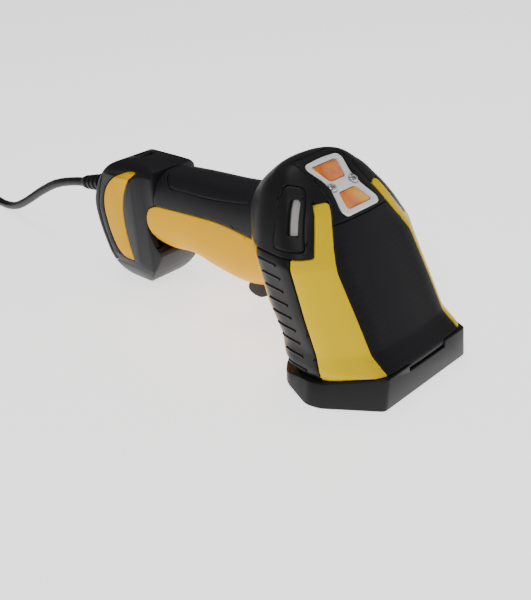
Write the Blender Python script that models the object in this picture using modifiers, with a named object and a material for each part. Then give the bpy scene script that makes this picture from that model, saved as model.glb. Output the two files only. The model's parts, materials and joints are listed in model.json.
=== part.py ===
# Handheld barcode scanner resting nose-down, as an assembly of separate pieces.
# Lengths below are in millimetres and become metres where a mesh is made.
# X is the width, Y runs from the nose's front edge to the foot of the handle, Z is up.

import math

import bpy
import bmesh
from mathutils import Matrix, Vector

for old in list(bpy.data.objects):
    bpy.data.objects.remove(old, do_unlink=True)

MM = 0.001
GAP = 0.3            # clearance between neighbouring pieces
WALL = 2.4           # wall of the outer mouldings
LIP_TO_ORIGIN = 4.0  # from the nose's front edge back to the origin
HEAD_SLOPE = 36.0    # degrees, tilt of the indicator plate from level
BASE_HALF = 15.8     # half width of the handle's foot
CORD_D = 5.0         # cord diameter
TRIGGER_PIVOT = (79.0, 45.0)     # y, z of the trigger's pin
CORD_EXIT = (0.0, 201.5, 46.5)
CORD_TILT = 10.0     # degrees that the cord leaves below level
RELIEF = 31.0        # length of the strain relief outside the foot
STEP_Z = 58.0        # height where the inserts narrow and the rear cap begins
LEG_TOP = 75.5       # top of the inserts' narrow legs
LEG_OUTER = (28.5, 19.2)   # half width outside a leg, at its foot and at its top
NOTCH = (12.0, 11.8)       # half width and floor height of the step in the nose's front rim

# Head sections: height, then the right half of the outline from front to back: the middle
# of the front, the front edge, the bevel's outer edge, two side points, the rear corner
# and the middle of the back.
HEAD_SECTIONS = [
    (1.2, [(0.0, 4.2), (23.5, 4.8), (32.5, 19.0), (34.0, 24.5), (33.5, 38.0), (26.0, 44.5), (0.0, 45.5)]),
    (8.0, [(0.0, 3.2), (24.0, 3.8), (34.5, 19.5), (35.6, 25.5), (34.8, 40.0), (27.0, 47.5), (0.0, 49.0)]),
    (11.0, [(0.0, 1.4), (25.6, 1.9), (37.4, 20.6), (38.0, 27.6), (36.3, 43.0), (28.2, 51.2), (0.0, 53.0)]),
    (14.5, [(0.0, -0.1), (26.0, 0.3), (37.9, 20.8), (38.3, 28.0), (36.6, 44.4), (28.6, 53.0), (0.0, 55.0)]),
    (21.0, [(0.0, 6.7), (24.2, 8.1), (36.2, 22.5), (37.2, 28.5), (35.6, 45.0), (27.6, 55.4), (0.0, 57.6)]),
    (35.0, [(0.0, 13.7), (24.2, 15.0), (36.6, 29.0), (37.6, 35.0), (35.8, 51.5), (27.0, 63.5), (0.0, 66.5)]),
    (55.0, [(0.0, 24.1), (24.0, 25.5), (36.0, 36.5), (37.0, 42.5), (34.5, 60.0), (24.0, 73.0), (0.0, 76.5)]),
    (68.0, [(0.0, 31.2), (16.0, 32.5), (27.0, 38.0), (31.5, 45.0), (29.5, 63.0), (19.0, 78.5), (0.0, 82.0)]),
    (76.0, [(0.0, 36.0), (13.0, 37.0), (20.5, 40.5), (26.5, 49.0), (25.0, 64.5), (16.0, 76.5), (0.0, 79.5)]),
    (83.0, [(0.0, 45.3), (12.5, 46.5), (17.5, 49.0), (22.0, 54.0), (20.5, 64.0), (12.0, 70.5), (0.0, 72.5)]),
    (87.6, [(0.0, 53.6), (8.5, 54.2), (11.5, 55.0), (13.5, 57.0), (12.0, 61.5), (7.5, 64.0), (0.0, 65.0)]),
]
HEAD_FILLETS = [8.0, 6.5, 3.0, 3.0, 5.0, 6.0, 9.0]

# Handle sections: distance along Y, half width, top and bottom heights.
HANDLE_SECTIONS = [
    (58.0, 17.0, 69.0, 34.0),
    (70.0, 17.0, 70.3, 28.0),
    (78.0, 17.0, 70.2, 24.0),
    (88.0, 16.3, 69.0, 21.0),
    (97.0, 15.7, 68.3, 20.0),
    (106.0, 15.2, 67.8, 20.5),
    (116.0, 14.8, 67.5, 22.0),
    (132.0, 14.6, 66.8, 25.0),
    (148.0, 14.8, 65.4, 24.0),
    (161.0, 15.0, 62.0, 26.0),
]

# Side view of the foot, clockwise from the front of its top.
BASE_OUTLINE = [
    (151.0, 65.4), (160.0, 67.2), (172.0, 67.8), (182.0, 65.6), (191.0, 59.8), (198.0, 51.0),
    (202.0, 41.0), (201.0, 30.0), (197.0, 18.0), (191.0, 6.5), (186.0, 1.2), (183.0, 0.0), (172.0, 0.0),
    (165.0, 4.0), (158.0, 11.5), (151.0, 21.5),
]

# Right half of the foot seen from behind, bottom to top, and seen from above, front to back.
FOOT_BEHIND = [(6.5, -1.5), (10.2, 2.0), (13.2, 7.0), (15.1, 13.0), (16.9, 22.0), (16.9, 54.0), (15.2, 60.5),
               (12.6, 64.6), (8.6, 67.3), (4.0, 69.0)]
FOOT_ABOVE = [(14.2, 148.0), (14.5, 157.0), (15.3, 165.0), (16.6, 174.0), (17.4, 210.0)]

# Side view of the trigger: the curved finger face, the tip, then the seat for its spring.
TRIGGER_OUTLINE = [
    (75.4, 47.6), (74.6, 43.5), (74.8, 36.0), (76.6, 29.0), (79.6, 22.5), (83.5, 17.6), (88.0, 15.2),
    (92.4, 15.4), (95.6, 16.9), (96.4, 19.0), (95.0, 21.8), (91.0, 27.6), (84.0, 28.2), (83.0, 34.0),
    (82.6, 40.0), (81.4, 47.8),
]

BLACK = (0.028, 0.029, 0.033)
SOFT_BLACK = (0.020, 0.021, 0.024)
LEMON = (0.89, 0.63, 0.012)
WARM_YELLOW = (0.93, 0.56, 0.025)
WHITE = (0.86, 0.87, 0.88)
AMBER = (0.85, 0.24, 0.01)
STEEL = (0.62, 0.63, 0.65)
BOARD_GREEN = (0.02, 0.16, 0.07)
DARK_GLASS = (0.05, 0.010, 0.012)


def collection(name):
    made = bpy.data.collections.new(name)
    bpy.context.scene.collection.children.link(made)
    return made


parts = collection('barcode_scanner')
cutters = collection('cutters')

def material(colour, roughness, metallic=0.0):
    made = bpy.data.materials.new('finish')
    made.use_nodes = True
    shader = made.node_tree.nodes['Principled BSDF']
    shader.inputs['Base Color'].default_value = (*colour, 1.0)
    shader.inputs['Roughness'].default_value = roughness
    shader.inputs['Metallic'].default_value = metallic
    return made


def hide(ob):
    for home in list(ob.users_collection):
        home.objects.unlink(ob)
    cutters.objects.link(ob)
    ob.hide_render = True
    ob.display_type = 'WIRE'
    return ob


def show(ob, name, finish):
    for home in list(ob.users_collection):
        home.objects.unlink(ob)
    parts.objects.link(ob)
    ob.name = name
    ob.hide_render = False
    ob.display_type = 'TEXTURED'
    ob.data.materials.clear()
    finish.name = name
    ob.data.materials.append(finish)
    return ob


def from_bmesh(bm, name='shape'):
    bmesh.ops.recalc_face_normals(bm, faces=bm.faces)
    mesh = bpy.data.meshes.new(name)
    bm.to_mesh(mesh)
    bm.free()
    ob = bpy.data.objects.new(name, mesh)
    cutters.objects.link(ob)
    return hide(ob)


def baked(ob, keep=False):
    """The object's evaluated shape as a plain mesh, standing where the object stands."""
    bpy.context.view_layer.update()
    graph = bpy.context.evaluated_depsgraph_get()
    mesh = bpy.data.meshes.new_from_object(ob.evaluated_get(graph))
    made = bpy.data.objects.new(ob.name, mesh)
    made.matrix_world = ob.matrix_world.copy()
    cutters.objects.link(made)
    hide(made)
    if not keep:
        bpy.data.objects.remove(ob, do_unlink=True)
    return made


def combine(ob, other, operation):
    step = ob.modifiers.new(operation.lower(), 'BOOLEAN')
    step.solver = 'EXACT'
    step.operation = operation
    step.object = other
    return ob


def cut(ob, *others):
    for other in others:
        combine(ob, other, 'DIFFERENCE')
    return baked(ob)


def keep_inside(ob, *others):
    for other in others:
        combine(ob, other, 'INTERSECT')
    return baked(ob)


def join(ob, *others):
    for other in others:
        combine(ob, other, 'UNION')
    return baked(ob)


def copy_of(ob):
    made = ob.copy()
    made.data = ob.data.copy()
    cutters.objects.link(made)
    return made


# ---- flat outlines, boxes, cylinders and lofts ----

FACING = {
    'X': Matrix(((0, 0, 1), (1, 0, 0), (0, 1, 0))),     # outline in Y, Z
    'Y': Matrix(((1, 0, 0), (0, 0, -1), (0, 1, 0))),    # outline in X, Z
    'Z': Matrix.Identity(3),                            # outline in X, Y
}


def plate(outlines, axis, low, high, turn=None, origin=(0, 0, 0)):
    """A flat outline given a thickness between two places on an axis; extra outlines are holes."""
    curve = bpy.data.curves.new('outline', 'CURVE')
    curve.dimensions = '2D'
    curve.fill_mode = 'BOTH'
    curve.extrude = (high - low) / 2 * MM
    for outline in outlines:
        spline = curve.splines.new('POLY')
        spline.points.add(len(outline) - 1)
        for point, (u, v) in zip(spline.points, outline):
            point.co = (u * MM, v * MM, 0, 1)
        spline.use_cyclic_u = True
    ob = bpy.data.objects.new('outline', curve)
    bpy.context.scene.collection.objects.link(ob)
    facing = FACING[axis].copy()
    middle = (low + high) / 2 * (-1 if axis == 'Y' else 1)
    place = Matrix.Translation(Vector(origin) * MM)
    if turn is not None:
        place = place @ turn
    ob.matrix_world = place @ facing.to_4x4() @ Matrix.Translation((0, 0, middle * MM))
    made = baked(ob)
    bm = bmesh.new()
    bm.from_mesh(made.data)
    bmesh.ops.remove_doubles(bm, verts=bm.verts, dist=0.00001)
    bmesh.ops.recalc_face_normals(bm, faces=bm.faces)
    bm.to_mesh(made.data)
    bm.free()
    bpy.data.curves.remove(curve)
    return settle(made)


def settle(ob):
    """Puts the object's place into its mesh."""
    ob.data.transform(ob.matrix_world)
    ob.matrix_world = Matrix.Identity(4)
    return ob


def box(low, high):
    bm = bmesh.new()
    bmesh.ops.create_cube(bm, size=1.0)
    size = [(b - a) * MM for a, b in zip(low, high)]
    middle = [(a + b) / 2 * MM for a, b in zip(low, high)]
    bmesh.ops.scale(bm, vec=size, verts=bm.verts)
    bmesh.ops.translate(bm, vec=middle, verts=bm.verts)
    return from_bmesh(bm)


def rod(start, end, r1, r2=None, segments=24):
    start, end = Vector(start) * MM, Vector(end) * MM
    bm = bmesh.new()
    bmesh.ops.create_cone(bm, cap_ends=True, segments=segments, radius1=r1 * MM,
                          radius2=(r1 if r2 is None else r2) * MM, depth=(end - start).length)
    ob = from_bmesh(bm)
    ob.matrix_world = Matrix.Translation((start + end) / 2) @ \
        (end - start).to_track_quat('Z', 'Y').to_matrix().to_4x4()
    return settle(ob)


def soften(ob, width, segments=2, angle=30.0):
    step = ob.modifiers.new('bevel', 'BEVEL')
    step.width = width * MM
    step.segments = segments
    step.limit_method = 'ANGLE'
    step.angle_limit = math.radians(angle)
    return baked(ob)


def mirrored(ob):
    """A left-hand copy of a right-hand piece."""
    made = copy_of(ob)
    made.data.transform(Matrix.Scale(-1, 4, (1, 0, 0)))
    made.data.flip_normals()
    return made


def filleted(outline, fillets, steps=2):
    """Replaces each corner with a short curve that starts and ends on its two edges."""
    done = []
    count = len(outline)
    for i, corner in enumerate(outline):
        here = Vector(corner)
        before, after = Vector(outline[i - 1]), Vector(outline[(i + 1) % count])
        reach = min(fillets[i], (before - here).length * 0.45, (after - here).length * 0.45)
        a = here + (before - here).normalized() * reach
        b = here + (after - here).normalized() * reach
        for k in range(steps + 1):
            t = k / steps
            done.append((1 - t) ** 2 * a + 2 * t * (1 - t) * here + t ** 2 * b)
    return done


def loft(rings):
    """Joins closed rings of equal count and caps both ends."""
    bm = bmesh.new()
    rows = [[bm.verts.new(Vector(p) * MM) for p in ring] for ring in rings]
    for lower, upper in zip(rows, rows[1:]):
        for i in range(len(lower)):
            j = (i + 1) % len(lower)
            bm.faces.new((lower[i], lower[j], upper[j], upper[i]))
    bm.faces.new(rows[0])
    bm.faces.new(rows[-1])
    return from_bmesh(bm)


def grown(ob, distance):
    """A copy with its surface moved outwards, or inwards for a negative distance."""
    made = copy_of(ob)
    bm = bmesh.new()
    bm.from_mesh(made.data)
    bm.normal_update()
    moves = [(v, v.normal * v.calc_shell_factor() * distance * MM) for v in bm.verts]
    for v, move in moves:
        v.co += move
    bm.to_mesh(made.data)
    bm.free()
    return made


def widened(outline, distance):
    """Moves a flat outline's edges outwards by a distance, keeping its corners sharp."""
    points = [Vector(p) for p in outline]
    count = len(points)
    area = sum(points[i - 1].cross(points[i]) for i in range(count))
    side = 1 if area > 0 else -1
    done = []
    for i in range(count):
        a = (points[i] - points[i - 1]).normalized()
        b = (points[(i + 1) % count] - points[i]).normalized()
        na, nb = Vector((a.y, -a.x)) * side, Vector((b.y, -b.x)) * side
        split = (na + nb).normalized()
        done.append(points[i] + split * distance / max(0.35, split.dot(na)))
    return [tuple(p) for p in done]


def both_sides(half):
    """A right-hand half outline and its mirror image, without doubling the middle points."""
    return half + [(-x, y) for x, y in reversed(half) if x > 0.01]


def head_solid(sections):
    rings = []
    for height, half in sections:
        radii = HEAD_FILLETS + HEAD_FILLETS[-2:0:-1]
        rings.append([(p.x, p.y, height) for p in filleted(both_sides(half), radii)])
    return loft(rings)


def handle_solid(points=28, power=2.5):
    rings = []
    for y, half, top, bottom in HANDLE_SECTIONS:
        ring = []
        for k in range(points):
            turn = 2 * math.pi * (k + 0.5) / points
            c, s = math.cos(turn), math.sin(turn)
            ring.append((math.copysign(abs(c) ** (2 / power), c) * half, y,
                         (top + bottom) / 2 + math.copysign(abs(s) ** (2 / power), s) * (top - bottom) / 2))
        rings.append(ring)
    return loft(rings)


# ---- head ----

def edge_at(z):
    """Half width of the front cover at a height."""
    return 23.6 - 10.7 * min(1.0, max(0.0, z - 54.0) / (LEG_TOP - 54.0))


def front_cover_region():
    """Front view of the cover between the two inserts, cut through the front half."""
    low, high = 5.0, 67.6
    right = [(edge_at(low), low), (edge_at(54.0), 54.0), (edge_at(high), high)]
    outline = right + [(-x, z) for x, z in reversed(right)]
    return plate([outline], 'Y', -10.0, 42.0)


def under_rim(grow):
    """Side view of all that lies below the nose bumper's upper rim."""
    return plate([[(-20.0, -10.0), (-20.0, rim_at(-20.0) + grow),
                   (120.0, rim_at(120.0) + grow), (120.0, -10.0)]],
                 'X', -60.0, 60.0)


def rim_at(y):
    return 15.1 - 0.16 * (y + 2.0)


def section_at(z):
    """The right half of the head's outline at a height, between the two nearest sections."""
    for (low, first), (high, second) in zip(HEAD_SECTIONS, HEAD_SECTIONS[1:]):
        if low <= z <= high:
            t = (z - low) / (high - low)
            return [tuple(Vector(p).lerp(Vector(q), t)) for p, q in zip(first, second)]


def insert_region():
    """Front view of the right-hand insert: a wide panel with a narrow leg above it."""
    inner = [(edge_at(z) + GAP, z) for z in (5.0, 54.0, LEG_TOP)]
    outer = [(LEG_OUTER[1], LEG_TOP), (LEG_OUTER[0], STEP_Z), (44.0, STEP_Z), (44.0, 5.0)]
    wide = plate([inner + outer], 'Y', -10.0, 60.0)
    side = plate([[(-20.0, 0.0), (19.9, 0.0), (40.5, 59.5), (54.0, 90.0), (-20.0, 90.0)]], 'X', 0.0, 60.0)
    return keep_inside(wide, side)


def bezel_region():
    low, high = 67.6 + GAP, 92.0
    right = [(edge_at(low), low), (edge_at(LEG_TOP), LEG_TOP), (12.3, high)]
    outline = right + [(-x, z) for x, z in reversed(right)]
    return plate([outline], 'Y', -10.0, 58.5)


def rib_region():
    """Side view of the rubber strip behind the insert."""
    return plate([[(20.8, 1.0), (40.6, STEP_Z), (60.6, STEP_Z), (40.8, 1.0)]], 'X', 20.0, 60.0)


def rear_region():
    """Side view of the cover on the trigger side of the head."""
    return plate([[(41.2, 1.0), (61.0, STEP_Z), (95.0, STEP_Z), (95.0, 1.0)]], 'X', -60.0, 60.0)


def front_pieces_region(grow):
    """Front view of everything that the rear cap frames."""
    right = [(LEG_OUTER[0] + grow + 1.2, STEP_Z - 4.0), (LEG_OUTER[0] + grow, STEP_Z),
             (LEG_OUTER[1] + grow, LEG_TOP + grow), (edge_at(LEG_TOP) + grow, LEG_TOP + grow),
             (12.3 + grow, 92.0)]
    outline = right + [(-x, z) for x, z in reversed(right)]
    return plate([outline], 'Y', -10.0, 58.5 + grow)


def panel_outline(grow):
    return filleted(widened([(36.4, 60.8), (42.8, 76.0), (46.4, 80.8), (53.8, 82.0), (49.8, 60.8)], grow),
                    [2.0, 3.0, 3.0, 2.5, 2.5], 3)


head = head_solid(HEAD_SECTIONS)
head_inner = grown(head, -WALL)
hollow_head = cut(copy_of(head), head_inner)
skin = cut(copy_of(hollow_head), under_rim(GAP))

# the cover alone reaches down into the step in the middle of the nose's rim
below_step = box((-60, -20, -20), (60, 12, NOTCH[1] + GAP))
cover_tongue = box((-NOTCH[0] + GAP, -20, 0), (NOTCH[0] - GAP, 12, 20))

cover_low = cut(under_rim(GAP), cut(cover_tongue, below_step))
top_cover = keep_inside(cut(hollow_head, cover_low), front_cover_region())
show(top_cover, 'top_cover', material(SOFT_BLACK, 0.55))

insert = keep_inside(copy_of(skin), insert_region())
show(mirrored(insert), 'side_insert_left', material(LEMON, 0.32))
show(insert, 'side_insert_right', material(LEMON, 0.32))

rib_pad = keep_inside(copy_of(skin), rib_region())
for i in range(8):
    z = 15.0 + i * 5.3
    side, corner = Vector(section_at(z)[3]), Vector(section_at(z)[4])
    along = (corner - side).normalized()
    first, last = side + along * 6.5, corner + along * 14.0
    groove = rod((first.x + 0.35, first.y, z), (last.x + 0.35, last.y, z), 1.15, segments=8)
    rib_pad = cut(rib_pad, groove)
show(mirrored(rib_pad), 'side_rib_pad_left', material(SOFT_BLACK, 0.6))
show(rib_pad, 'side_rib_pad_right', material(SOFT_BLACK, 0.6))

bezel = keep_inside(copy_of(head), bezel_region())
rear_cover = keep_inside(copy_of(skin), rear_region())
cap = keep_inside(copy_of(skin), box((-60, -20, STEP_Z + GAP), (60, 100, 95)))
cap = cut(cap, front_pieces_region(GAP))

# the handle's passage through the rear of the head
passage_hole = rod((0, 60, 53), (0, 100, 53), 8.0)
cap = cut(cap, copy_of(passage_hole))
rear_cover = cut(rear_cover, copy_of(passage_hole))

# flush side panels with a slot window near their front edge
for side, tag in ((1, 'right'), (-1, 'left')):
    low, high = (12.0, 60.0) if side > 0 else (-60.0, -12.0)
    pocket = plate([panel_outline(GAP)], 'X', low, high)
    cap = cut(cap, keep_inside(pocket, cut(grown(head, 1.0), grown(head, -1.5))))
    panel = keep_inside(plate([panel_outline(0.0)], 'X', low, high), cut(copy_of(head), grown(head, -1.2)))
    slot = filleted([(40.4, 66.0), (45.2, 77.6), (48.4, 77.6), (44.2, 66.0)], [0.8] * 4, 2)
    opening = plate([widened(slot, GAP)], 'X', low, high)
    window = keep_inside(plate([slot], 'X', low, high), cut(grown(head, -0.35), grown(head, -1.2)))
    panel = cut(panel, opening)
    show(panel, 'side_panel_' + tag, material(SOFT_BLACK, 0.45))
    show(window, 'side_window_' + tag, material((0.47, 0.45, 0.44), 0.3))

show(cap, 'head_rear_cap', material(BLACK, 0.42))

# indicator plate: a white figure of eight with two amber windows, on the tilted bezel
PLATE_FRAME = Matrix.Rotation(math.radians(HEAD_SLOPE + 0.6), 4, 'X')
PLATE_ORIGIN = (0.0, 42.6, 76.9)


def on_plate(outlines, low, high):
    """Outlines in the plate's own plane: across, and up the slope."""
    return plate(outlines, 'Z', low, high, turn=PLATE_FRAME, origin=PLATE_ORIGIN)


plate_half = [(9.4, -13.2), (10.6, -10.6), (8.4, -2.0), (8.2, 3.4), (10.7, 11.6), (9.4, 14.4), (0.0, 15.0)]
plate_outline = plate_half + [(-x, y) for x, y in reversed(plate_half[:-1])]
rear_window = [(-7.4, 12.2), (7.4, 12.2), (4.6, 3.4), (-4.6, 3.4)]
front_window = [(-5.0, -2.6), (5.0, -2.6), (7.2, -10.6), (-7.2, -10.6)]
plate_shape = filleted(plate_outline, [1.5, 1.5, 3, 3, 2, 2, 2, 2, 2, 3, 3, 1.5, 1.5], 2)
windows = [filleted(w, [1.2] * 4, 2) for w in (rear_window, front_window)]
for w, name in ((windows[0], 'rear'), (windows[1], 'front')):
    bezel = cut(bezel, on_plate([widened([tuple(p) for p in w], GAP)], -6.0, 6.0))
bezel = cut(bezel, on_plate([widened([tuple(p) for p in plate_shape], GAP)], 0.0, 9.0))
bezel = cut(bezel, on_plate([[(-60, -60), (60, -60), (60, 60), (-60, 60)]], -40.0, -2.6))
plate_holes = [widened([tuple(p) for p in w], GAP) for w in windows]
screw_spots = [(-6.5, 0.3), (6.5, 0.3)]
indicator_plate = on_plate([plate_shape] + plate_holes, GAP, 1.7)
for x, y in screw_spots:
    spot = PLATE_FRAME @ Vector((x, y, 0)) + Vector(PLATE_ORIGIN)
    up = (PLATE_FRAME.to_3x3() @ Vector((0, 0, 1)))
    for shape_r, lo, hi in ((2.1, 1.1, 6.0), (1.3, -6.0, 6.0)):
        hole = rod(spot + up * lo, spot + up * hi, shape_r)
        indicator_plate = cut(indicator_plate, copy_of(hole))
        if shape_r < 2:
            bezel = cut(bezel, copy_of(hole))
    screw = join(rod(spot + up * 1.35, spot + up * 2.3, 1.75), rod(spot - up * 4.6, spot + up * 1.5, 0.95))
    recess = rod(spot + up * 1.8, spot + up * 4, 0.8, segments=6)
    show(cut(screw, recess), 'indicator_screw_' + ('left' if x < 0 else 'right'), material(STEEL, 0.25, 1.0))
show(indicator_plate, 'indicator_plate', material(WHITE, 0.25))
for w, name in ((windows[0], 'rear'), (windows[1], 'front')):
    lens = on_plate([w], -3.2, 1.2)
    show(soften(lens, 0.4, 1), 'indicator_lens_' + name, material(AMBER, 0.2))
show(bezel, 'indicator_bezel', material(BLACK, 0.4))

# ---- inner frame, nose and what the head holds ----

core = head_solid([section for section in HEAD_SECTIONS if section[0] not in (11.0, 14.5, 87.6)])
frame = cut(grown(core, -WALL - 0.8), grown(core, -WALL - 2.6))
frame = cut(frame, copy_of(passage_hole), box((-16, 20, 66), (16, 59.5, 95)),
            box((-60, -20, 78.4), (60, 120, 95)))

nose_half = section_at(7.0)
nose_outline = both_sides(nose_half)
mouth = plate([widened(nose_outline, -8.0)], 'Z', -5.0, 6.2)
frame = cut(frame, plate([widened(nose_outline, -8.0)], 'Z', -5.0, 14.0))

bumper_low = [(27.7, 0.4), (42.0, 22.3), (43.2, 28.4), (38.6, 43.6), (29.8, 51.0), (0.0, 53.0)]
bumper_high = [(25.9, -0.2), (38.0, 20.2), (38.2, 28.2), (36.0, 44.8), (28.2, 52.2), (0.0, 54.2)]
rings = []
for z, half in ((0.0, bumper_low), (18.0, bumper_high)):
    corners = [1.6] + [3.0] * 9 + [1.6]
    rings.append([(p.x, p.y, z) for p in filleted(both_sides(half), corners)])
above_rim = plate([[(-20.0, rim_at(-20.0)), (-20.0, 60.0), (120.0, 60.0), (120.0, rim_at(120.0))]],
                  'X', -60.0, 60.0)
rear_rise = plate([[(28.8, -5.0), (28.8, 0.0), (56.0, 4.6), (70.0, 4.6), (70.0, -5.0)]], 'X', -60.0, 60.0)
bumper = cut(loft(rings), above_rim, grown(head, -WALL - 0.1), mouth, rear_rise,
             box((-NOTCH[0], -8.0, NOTCH[1]), (NOTCH[0], 12.0, 30.0)))
show(bumper, 'nose_bumper', material(BLACK, 0.38))

gasket_outer = widened(nose_outline, -6.8)
show(plate([gasket_outer, widened(nose_outline, -8.0)], 'Z', 6.6, 7.4), 'window_gasket',
     material(SOFT_BLACK, 0.7))
show(plate([gasket_outer], 'Z', 7.7, 9.2), 'scan_window', material(DARK_GLASS, 0.08))

engine = soften(box((-19, 20, 12.5), (19, 41, 31)), 0.8, 1)
show(engine, 'scan_engine_housing', material((0.35, 0.36, 0.38), 0.4, 1.0))
show(rod((0, 32, 9.6), (0, 32, 12.2), 4.8), 'imager_lens', material(DARK_GLASS, 0.1))
show(rod((0, 23.6, 10.0), (0, 23.6, 12.2), 2.0, segments=16), 'aiming_lens', material((0.5, 0.05, 0.03), 0.1))
for side, tag in ((-1, 'left'), (1, 'right')):
    show(rod((side * 12, 30, 9.8), (side * 12, 30, 12.2), 3.6), 'illumination_lens_' + tag,
         material((0.8, 0.82, 0.85), 0.1))

board_tilt = Matrix.Rotation(math.radians(61.0), 4, 'X')
show(plate([[(-17, -18), (17, -18), (17, 18), (-17, 18)]], 'Z', 0.0, 1.6, turn=board_tilt, origin=(0, 41.5, 54)),
     'main_board', material(BOARD_GREEN, 0.4))
show(plate([[(-9, -9), (9, -9), (9, 9), (-9, 9)]], 'Z', -2.6, -0.3, turn=board_tilt, origin=(0, 41.5, 54)),
     'processor_shield', material(STEEL, 0.35, 1.0))
show(on_plate([[(-9.5, -12.5), (9.5, -12.5), (9.5, 12.5), (-9.5, 12.5)]], -8.6, -7.4), 'indicator_board',
     material(BOARD_GREEN, 0.4))
show(rod((-21, 57, 66), (-15, 57, 66), 5.5), 'beeper', material(BLACK, 0.4))

# ---- case screws in the trigger-side cover ----

cover_normal = Vector((0, 18.5, -12.0)).normalized()
for i, (x, z) in enumerate(((-19, 22), (19, 22), (-20.4, 45), (20.4, 45))):
    half = section_at(z)
    t = abs(x) / half[5][0]
    at = Vector((x, half[6][1] + (half[5][1] - half[6][1]) * t, z))
    rear_cover = cut(rear_cover, rod(at - cover_normal * 1.3, at + cover_normal * 5, 2.5),
                     rod(at - cover_normal * 9, at + cover_normal * 5, 1.25))
    frame = cut(frame, rod(at - cover_normal * 9, at + cover_normal * 5, 1.25))
    screw = join(rod(at - cover_normal * 1.0, at + cover_normal * 0.2, 2.1),
                 rod(at - cover_normal * 7.5, at - cover_normal * 0.6, 0.95))
    screw = cut(screw, rod(at - cover_normal * 0.5, at + cover_normal * 2, 0.95, segments=6))
    show(screw, 'head_screw_%d' % (i + 1), material(STEEL, 0.3, 1.0))
show(rear_cover, 'trigger_side_cover', material(WARM_YELLOW, 0.35))
show(frame, 'head_frame', material(BLACK, 0.5))

# ---- handle ----

handle = handle_solid()
handle_shell = cut(copy_of(handle), grown(handle, -WALL), grown(head, GAP))
border = [(60.0, 49.2), (83.0, 50.2), (103.0, 51.6), (150.0, 49.4)]
grip_outline = border + [(156.0, 46.6), (158.4, 41.0), (158.2, 34.0), (155.6, 28.0), (150.0, 10.0), (60.0, 10.0)]
back_outline = [(y, z + GAP) for y, z in border[:3]] + [(150.0, 49.4 + GAP), (150.7, 49.2 + GAP), (150.7, 80.0),
                                                        (60.0, 80.0)]
slot_outline = [(60.0, 10.0), (60.0, 48.9), (87.0, 48.9), (101.5, 30.0), (101.5, 10.0)]
py, pz = TRIGGER_PIVOT

grip = keep_inside(copy_of(handle_shell), plate([grip_outline], 'X', -30.0, 30.0))
grip = cut(grip, plate([slot_outline], 'X', -8.0, 8.0))
for side in (-1, 1):
    grip = join(grip, rod((side * 8.4, py, pz), (side * 14.4, py, pz), 3.0))
grip = cut(grip, rod((-13.9, py, pz), (13.9, py, pz), 1.3))
show(grip, 'handle_front_grip', material(WARM_YELLOW, 0.35))

back = keep_inside(handle_shell, plate([back_outline], 'X', -30.0, 30.0))
pad_half = [(11.8, 84.5)]
for k in range(5):
    turn = math.radians(22.5 * k)
    pad_half.append((1.2 + 10.6 * math.cos(turn), 137.0 + 10.6 * math.sin(turn)))
pad_outline = pad_half + [(-x, y) for x, y in reversed(pad_half)]
back = cut(back, keep_inside(plate([widened(pad_outline, GAP)], 'Z', 50.0, 90.0),
                             cut(grown(handle, 1.5), grown(handle, -1.2))))
pad = keep_inside(plate([pad_outline], 'Z', 50.0, 90.0), cut(copy_of(handle), grown(handle, -0.9)))
show(pad, 'handle_back_pad', material(SOFT_BLACK, 0.5))
show(back, 'handle_back_shell', material(BLACK, 0.42))

trigger = soften(plate([TRIGGER_OUTLINE], 'X', -7.5, 7.5), 0.9, 2, 50.0)
trigger = join(trigger, box((-2.0, 91.6, 20.0), (2.0, 95.0, 39.6)))
trigger = cut(trigger, rod((-10, py, pz), (10, py, pz), 1.35))
show(trigger, 'trigger', material(SOFT_BLACK, 0.5))
show(rod((-13.6, py, pz), (13.6, py, pz), 1.22), 'trigger_pin', material(STEEL, 0.25, 1.0))

switch = cut(box((-4, 90.4, 43), (4, 98, 48)), box((-1.8, 92.0, 42.0), (1.8, 95.6, 46.3)))
show(switch, 'trigger_switch_body', material(BLACK, 0.4))
show(box((-1.5, 92.3, 40.0), (1.5, 95.3, 43.7)), 'trigger_switch_plunger', material((0.7, 0.05, 0.03), 0.4))
show(box((-8, 86, 48.3), (8, 120, 49.5)), 'trigger_switch_board', material(BOARD_GREEN, 0.4))
show(rod((0, 124, 44), (0, 136, 44), 3.4), 'vibration_motor', material(STEEL, 0.3, 1.0))


def tube(name, points, radius, finish, resolution=2, cyclic=False):
    curve = bpy.data.curves.new(name, 'CURVE')
    curve.dimensions = '3D'
    curve.bevel_depth = radius * MM
    curve.bevel_resolution = resolution
    curve.use_fill_caps = True
    spline = curve.splines.new('POLY')
    spline.points.add(len(points) - 1)
    for point, place in zip(spline.points, points):
        point.co = (*(Vector(place) * MM), 1)
    spline.use_cyclic_u = cyclic
    ob = bpy.data.objects.new(name, curve)
    parts.objects.link(ob)
    finish.name = name
    curve.materials.append(finish)
    return ob


spring = []
for k in range(6 * 9 + 1):
    turn = 2 * math.pi * k / 9
    spring.append((2.2 * math.cos(turn), 87.4 + 2.2 * math.sin(turn), 29.0 + 18.2 * k / 54))
tube('trigger_spring', spring, 0.4, material(STEEL, 0.25, 1.0), resolution=1)

# ---- foot of the handle ----

# how far in from the side, and how far the edge steps in there
ROUNDING = [(0.0, 3.2), (0.6, 1.4), (2.2, 0.4), (5.0, 0.0)]


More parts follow.
